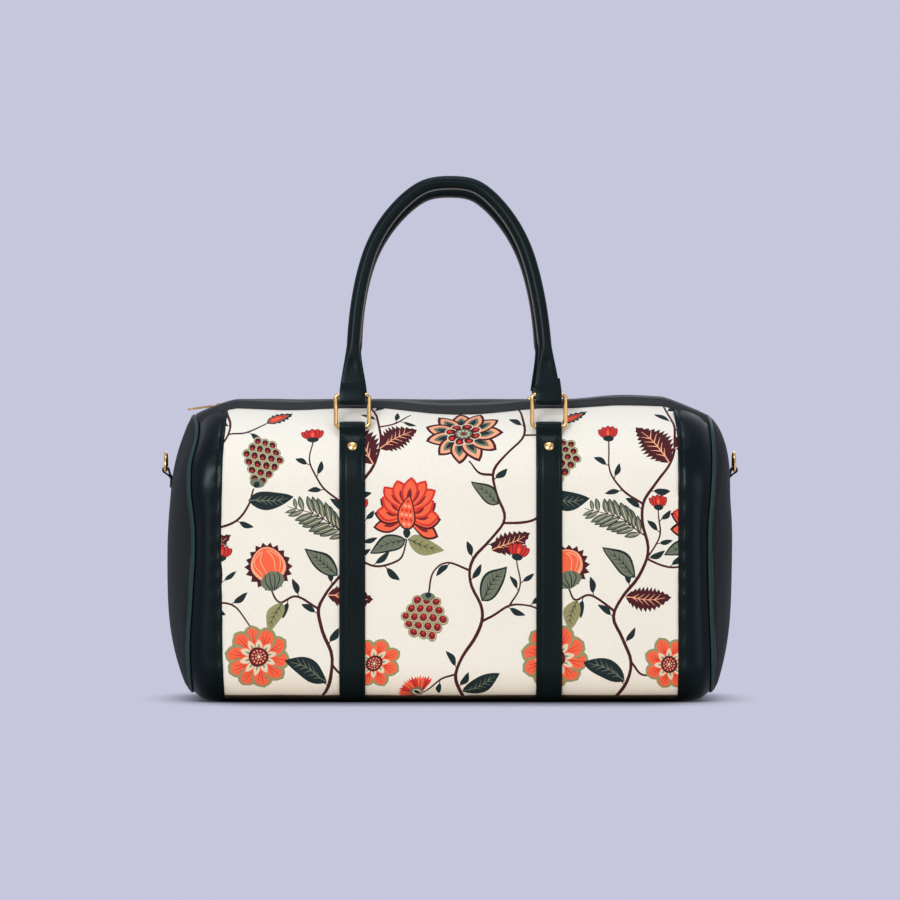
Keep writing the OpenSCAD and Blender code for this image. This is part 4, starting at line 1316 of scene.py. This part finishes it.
def loop_half_path():
    """(y, z) points from the strap's tucked end, round the front ring's bar, to the stitches below it."""
    out_from_roll = unit(RING_BAR - ROLL_MIDDLE)
    up = np.array([out_from_roll[1], -out_from_roll[0]])
    psi = np.radians(np.linspace(205, -52, 26))[:, None]
    turn = RING_BAR + LOOP_MIDDLE * (np.cos(psi) * out_from_roll + np.sin(psi) * up)
    angle = STITCH_ANGLE - np.radians([0.0, 1.5])
    radius = TOP_RADIUS + STRAP_SEAT + STRAP_THICK / 2
    below = ROLL_MIDDLE + radius * np.stack([-np.cos(angle), np.sin(angle)], 1)
    return np.vstack([turn, curve(np.vstack([turn[-2:], below]), 8)[9:]])


def strap_path():
    """The whole path as even (y, z) points: front loop, outline of the body, and the mirrored back loop."""
    loop = loop_half_path()
    start = GIRTHS[2] + TOP_RADIUS * (STITCH_ANGLE - np.radians(3.0))
    body = outline(STRAP_X, np.linspace(-start, start, 400), STRAP_SEAT + STRAP_THICK / 2, False)[:, 1:]
    path = np.vstack([loop, body, (loop * [-1, 1])[::-1]])
    return spread_evenly(path, int(running_length(path)[-1] / STRAP_STEP))


# The strap's normals point away from the bag, so downwards under its base
STRAP_LINE = strap_path()
STRAP_NORMAL = plane_normals(STRAP_LINE)
STRAP_NORMAL = STRAP_NORMAL * -np.sign(STRAP_NORMAL[len(STRAP_NORMAL) // 2, 1])
STRAP_RUN = running_length(STRAP_LINE)
LOOP_RUN = running_length(loop_half_path())[-1]
print("strap length", round(STRAP_RUN[-1]), "mm, of which each loop takes", round(LOOP_RUN, 1))


def flat_section(width, thickness, count=76):
    """A bar with soft edges: a superellipse, square across its width and round over its thickness."""
    a = round_angles(count)
    a = a - 0.32 * np.sin(2 * a)
    return width / 2 * signed_power(np.cos(a), 0.5), thickness / 2 * signed_power(np.sin(a), 0.55)


def strap(name, x):
    """The section along the path; the pad and the grooves fade out towards the loops."""
    w, h = flat_section(STRAP_WIDTH, STRAP_THICK)
    pad = PAD_RISE * ease((STITCH_ROW - np.abs(w)) / PAD_SLOPE)
    groove = -GROOVE_DEPTH * dent((np.abs(w) - STITCH_ROW) / GROOVE_HALF)
    from_end = np.minimum(STRAP_RUN, STRAP_RUN[-1] - STRAP_RUN)[:, None] - LOOP_RUN
    padded = ease((from_end - 0.5) / 2.5)
    cross = -CROSS_DEPTH * dent(from_end / CROSS_HALF)
    under = hump(STRAP_LINE[:, :1] / 95.0) * (STRAP_LINE[:, 1:] < 20)
    outside = np.clip(h, 0, None) / (STRAP_THICK / 2)
    height = h + outside * ((pad + groove) * padded * (1 - under) + cross * (np.abs(w) < STITCH_ROW))
    yz = STRAP_LINE[:, None, :] + height[:, :, None] * STRAP_NORMAL[:, None, :]
    across = np.broadcast_to(x + w, height.shape)
    return tube(name, np.stack([across, yz[:, :, 0], np.maximum(yz[:, :, 1], 0.0)], -1), STRAP)


for end, side in BOTH_ENDS:
    dress(strap(end + "_padded_strap", side * STRAP_X), "bag", "trim_leather", end + "_strap")
print("2 straps")


# %% [markdown]
# ## Handles
# Each handle is leather rolled round a core. Over its arch it is round, and towards the rings it flattens
# into a tab. The section is a superellipse whose exponent and two widths change along the arch. The tab's
# two layers open round the ring's bar. The edges of the leather meet in a thin raised seam under the
# arch.

# %% Handles
HANDLE_BAR = joint_mm("front_handle_swing")[1:]
grip = [np.array(m["pos_m"]) / MM for m in frame["record"]["mounts"] if m["name"] == "front_grip"][0][1:]
RISE = np.linalg.norm(grip - HANDLE_BAR)
LEAN = np.arctan2(grip[0] - HANDLE_BAR[0], grip[1] - HANDLE_BAR[1])
ROLL = 11.5
TAB = 13.0
TAPER = 36.0
TAB_THICK = 4.8
TAB_POWER = 6
ARCH_POWER = 2.35
ARCH_POINTS = 320
FOOT_UP = 7.0
LOOP_HANG = 5.0
LOOP_THICK = 2.2
SEAM_HALF = 0.7
SEAM_TALL = 0.9


def stand(local, side):
    """Handle places (along the bag, in towards it, up in the leaning plane) in the bag's frame."""
    x, within, up = np.moveaxis(local, -1, 0)
    y = HANDLE_BAR[0] + within * np.cos(LEAN) + up * np.sin(LEAN)
    return np.stack([x, side * y, HANDLE_BAR[1] + up * np.cos(LEAN) - within * np.sin(LEAN)], -1)


def arch(spread, lean_in):
    """(x, up) points over the bars: a superellipse on straight feet, spread evenly along its length.
    Soft handles stray from it: the legs spread a little, and the right one leans in."""
    t = np.linspace(0, np.pi, 1200)
    x = -STRAP_X * signed_power(np.cos(t), 2 / ARCH_POWER)
    x = x - lean_in * hump((t / np.pi - 0.82) / 0.3) - 3.0 * np.sign(x) * hump((np.abs(x) - 45.0) / 30.0)
    up = TAB + (RISE - TAB) * np.clip(np.sin(t), 0, None) ** (2 / ARCH_POWER)
    x = x + spread * np.sign(x) * hump((up - 100.0) / 90.0)
    feet = np.linspace(FOOT_UP, TAB, 20)[:-1]
    left = np.stack([np.full_like(feet, x[0]), feet], 1)
    right = np.stack([np.full_like(feet, x[-1]), feet[::-1]], 1)
    return spread_evenly(np.vstack([left, np.stack([x, up], 1), right]), ARCH_POINTS)


ARCHES = {1: arch(0.0, 4.0), -1: arch(1.6, 4.0)}


def foot_width(up):
    """Width of a handle at a height above its bar: the strap's at its foot, narrowing to the roll's."""
    share = (up - 1.0) / 44.0
    narrow = 0.5 * ease(share) + 0.5 * np.clip(share, 0.0, 1.0)
    return STRAP_WIDTH + (ROLL - STRAP_WIDTH) * narrow


def handle(name, side):
    """Rings across the arch. A crease runs down the front where the flat tab folds into the roll."""
    line = ARCHES[side]
    rolled = ease((line[:, 1] - TAB) / TAPER)[:, None]
    a = round_angles(56)
    power = 2 / (TAB_POWER + (2 - TAB_POWER) * rolled)
    wide = foot_width(line[:, 1])[:, None] / 2 * signed_power(np.cos(a), power)
    thick = (TAB_THICK - 0.5 + (ROLL - TAB_THICK + 0.5) * rolled) / 2 * signed_power(np.sin(a), power)
    fold = hump((rolled - 0.34) / 0.34)
    thick = thick * (1 - 0.25 * fold * hump(wide / 4.2))
    flat = carry(line, wide)
    return tube(name, stand(np.stack([flat[:, :, 0], thick, flat[:, :, 1]], -1), side), STRAP)


def handle_seam(name, side):
    """A thin fin along the inner side of the arch, where the rolled leather's edges are sewn together."""
    line = ARCHES[side]
    keep = ease((line[:, 1] - TAB) / TAPER) > 0.6
    inward = plane_normals(line)[keep]
    line = line[keep]
    a = round_angles(12)
    tall = SEAM_TALL * signed_power(np.sin(a), 0.6) + ROLL / 2 + 0.1
    from_end = np.minimum(np.arange(len(line)), np.arange(len(line))[::-1])
    down = tall - 2.2 * (1 - ease(from_end / 12.0))[:, None]
    flat = line[:, None, :] + down[:, :, None] * inward[:, None, :]
    across = np.broadcast_to(SEAM_HALF * signed_power(np.cos(a), 0.6), down.shape)
    return tube(name, stand(np.stack([flat[:, :, 0], across, flat[:, :, 1]], -1), side), EDGE)


def tab_loops(name, side):
    """The tab's outer leather at both feet: down the front, round the ring's bar and up the back."""
    psi = np.radians(np.linspace(0, -180, 24))
    turn = LOOP_MIDDLE * np.stack([np.cos(psi), np.sin(psi)], 1) - [0.0, LOOP_HANG]
    above = np.array([[0.9, 15.0], [1.25, 12.0], [1.6, 9.0], [2.7, 5.0], [LOOP_MIDDLE, 0.5]])
    down = curve(np.vstack([above, turn[:2]]), 6)[:-7]
    path = spread_evenly(np.vstack([down, turn, (down * [-1, 1])[::-1]]), 80)
    w, h = flat_section(STRAP_WIDTH, LOOP_THICK, 48)
    thin = 1 - 0.75 * ease((path[:, 1:] - 8.5) / 5.0)
    across = w * (foot_width(path[:, 1:]) / STRAP_WIDTH)
    rings = np.concatenate([across[:, :, None], carry(path, h * thin)], -1)
    feet = [stand(rings + np.array([s * STRAP_X, 0, 0]), side) for s in (-1, 1)]
    faces = tube_faces(*across.shape)
    every = faces + [[k + across.size for k in face] for face in faces]
    return new_mesh(name, np.concatenate(feet), every, STRAP)


for panel, side in (("front", 1), ("back", -1)):
    body = panel + "_handle"
    dress(handle(panel + "_rolled_handle", side), body, "trim_leather", panel + "_handle")
    dress(handle_seam(panel + "_handle_seam", side), body, "trim_leather")
    dress(tab_loops(panel + "_handle_loops", side), body, "trim_leather")
print("2 handles, rise", round(RISE, 1), "mm, lean", round(np.degrees(LEAN), 1), "degrees")


# %% [markdown]
# ## Tabs of the D rings
# A short strap is sewn to each end panel, folded round the D ring's bar. It is the same flat section on a
# short path.

# %% D ring tabs
D_BAR = joint_mm("right_d_swing")[[0, 2]]
D_TAB_WIDTH = span_mm("right_d_tab", 1)
D_TAB_THICK = 1.7
D_PINCH = 5.5
D_BORE = span_mm("right_d_ring", 0) / 2 + 0.3


def d_tab(name, side):
    """Two layers on the end panel, pinched together above it and joined by a turn round the D's bar."""
    heights = np.linspace(box_mm("right_d_tab")[0][2], D_BAR[1] - 8.0, 4)
    lie = end_face(heights, side) + D_TAB_THICK * np.linspace(-0.1, 0.5, 4)
    outer = np.stack([lie + D_TAB_THICK, heights], 1)
    inner = np.stack([lie, heights], 1)
    down = unit((outer[-1] + inner[-1]) / 2 - D_BAR)
    aside = np.array([-down[1], down[0]])
    pinch = D_BAR + D_PINCH * down
    middle = np.degrees(np.arctan2(down[1], down[0]))
    psi = np.radians(np.linspace(middle + 55, middle + 305, 24))
    turn = D_BAR + (D_BORE + D_TAB_THICK / 2) * np.stack([np.cos(psi), np.sin(psi)], 1)
    ways = [curve(np.vstack([outer, pinch + aside * D_TAB_THICK / 2, turn[:1]]), 8)[:-1], turn,
            curve(np.vstack([turn[-1:], pinch - aside * D_TAB_THICK / 2, inner[::-1]]), 8)[1:]]
    path = spread_evenly(np.vstack(ways), 90)
    w, h = flat_section(D_TAB_WIDTH, D_TAB_THICK, 48)
    xz = carry(path, np.broadcast_to(h, (len(path), len(h))))
    y = np.broadcast_to(w, xz.shape[:2])
    return tube(name, np.stack([side * xz[:, :, 0], y, xz[:, :, 1]], -1), TRIM)


for end, side in BOTH_ENDS:
    dress(d_tab(end + "_folded_tab", side), "bag", "trim_leather", end + "_d_tab")
print("2 folded tabs")


# %% [markdown]
# ## Stitches
# A stitch is a short thread that dips into the leather at both ends. One small capsule is repeated along
# each row: its length follows the row's direction and its round side the surface's normal. A row needs
# only its points and normals. All stitches of one body are one mesh.

# %% Stitches
STITCH_PITCH = 4.0
STITCH_LENGTH = 3.0
THREAD_RADIUS = 0.36
STITCH_RISE = 0.22
STITCH_DIP = 0.34
BAND_ROW_X = BAND_X + 3.0
BAND_ROW_OUT = 0.85
FACING_ROW_OUT = 0.45
FLOOR = [-np.inf, -np.inf, 0.0]


def stitch_points(path, normal):
    """Capsules along a path of 3-D points: rings of six points at five shares of each stitch."""
    count = 2 * max(2, int(running_length(path)[-1] / STITCH_PITCH)) + 1
    places = spread_evenly(path, count)
    up = unit(spread_evenly(path, count, normal)[1::2])
    ahead = unit(places[2::2] - places[:-1:2])
    side = np.cross(ahead, up)
    share = np.array([-1.0, -0.86, 0.0, 0.86, 1.0])[:, None]
    radius = THREAD_RADIUS * np.array([0.45, 0.95, 1.0, 0.95, 0.45])[:, None]
    a = round_angles(6)
    along = STITCH_LENGTH / 2 * share + 0 * a
    out = radius * np.cos(a)
    over = radius * np.sin(a) * 0.8 + (STITCH_RISE - STITCH_DIP * share**2)
    moves = ((along, ahead), (out, side), (over, up))
    moved = sum(size[:, :, None] * way[:, None, None] for size, way in moves)
    return np.maximum(places[1::2, None, None] + moved, FLOOR)


def stitch_piece(name, rows):
    """One mesh of all the stitches in several rows."""
    points = np.concatenate([stitch_points(path, normal) for path, normal in rows])
    stitches, rings, sides = points.shape[:3]
    one = grid_faces(rings, sides, False, True)
    starts = (np.arange(stitches) * rings * sides)[:, None]
    quads = (one.reshape(1, -1) + starts).reshape(-1, 4)
    first = starts + np.arange(sides)[None, :]
    faces = quads.tolist() + first.tolist() + (first + (rings - 1) * sides).tolist()
    return new_mesh(name, points, faces, THREAD), stitches


def girth_row(x, stop, out):
    """A row round the girth at one x."""
    girth = np.linspace(-stop, stop, 500)
    return outline(x, girth, out), outline_normal(girth)


def strap_rows(x):
    """Two long rows down a strap and one short row across it under each loop."""
    keep = (STRAP_RUN > LOOP_RUN) & (STRAP_RUN < STRAP_RUN[-1] - LOOP_RUN)
    up = STRAP_NORMAL[keep]
    yz = STRAP_LINE[keep] + up * (STRAP_THICK / 2 - 0.3)
    up = np.column_stack([np.zeros(len(up)), up])
    rows = [(np.column_stack([np.full(len(yz), x + s * STITCH_ROW), yz]), up) for s in (-1, 1)]
    line = x + np.linspace(-STITCH_ROW, STITCH_ROW, 9)
    for k in (0, -1):
        across = np.column_stack([line, np.repeat(yz[k][None], 9, 0)])
        rows.append((across, np.repeat(up[k][None], 9, 0)))
    return rows


def facing_row(side):
    """A row along the facing beside the zip."""
    x = np.linspace(-STOP_X + 8, STOP_X - 8, 200)
    girth = np.full(200, side * (GIRTHS[4] - ZIP_EDGE - FACING_ROW))
    return outline(x, girth, FACING_ROW_OUT), outline_normal(girth)


body_rows = [girth_row(s * BAND_ROW_X, FACING_SEAM, BAND_ROW_OUT) for s in (-1, 1)]
body_rows += [row for s in (-1, 1) for row in strap_rows(s * STRAP_X)]
body_rows += [facing_row(s) for s in (-1, 1)]
stitching, stitch_count = stitch_piece("bag_stitches", body_rows)
dress(stitching, "bag", "trim_leather")
print(stitch_count, "stitches on the bag")


# %% Stitches of the handle tabs
TAB_ROW_HALF = 8.5
TAB_ROW_UP = 9.0
TAB_FACE = 2.45


def tab_rows(side):
    """One row across the front and one across the back of each tab, just above the ring."""
    rows = []
    for x in (-STRAP_X, STRAP_X):
        for t in (-1, 1):
            line = np.linspace(x - TAB_ROW_HALF, x + TAB_ROW_HALF, 9)
            level = np.full(9, TAB_ROW_UP)
            path, ahead = [stand(np.column_stack([line, np.full(9, out * t), level]), side)
                           for out in (TAB_FACE, TAB_FACE + 1)]
            rows.append((path, ahead - path))
    return rows


for panel, side in (("front", 1), ("back", -1)):
    stitching, stitch_count = stitch_piece(panel + "_handle_stitches", tab_rows(side))
    dress(stitching, panel + "_handle", "trim_leather")
print(stitch_count, "stitches on each handle")


# %% [markdown]
# ## Metal fittings
# Rings, rivets, zip teeth, slider and puller have their true shape in the frame already, so they only
# change their finish. The base board lies hidden inside and gets a plain grey board finish.

# %% Finish the metal fittings
METAL_NODES = ["front_left_ring", "front_right_ring", "back_left_ring", "back_right_ring", "strap_rivets",
               "left_d_ring", "right_d_ring", "front_zip_teeth", "back_zip_teeth", "zip_stops",
               "zip_slider", "zip_puller"]
for name in METAL_NODES + ["base_board"]:
    node = frame["nodes"][name]
    node.data.materials.clear()
    node.data.materials.append(BOARD if name == "base_board" else GOLD)
print(len(METAL_NODES), "metal nodes in gold")
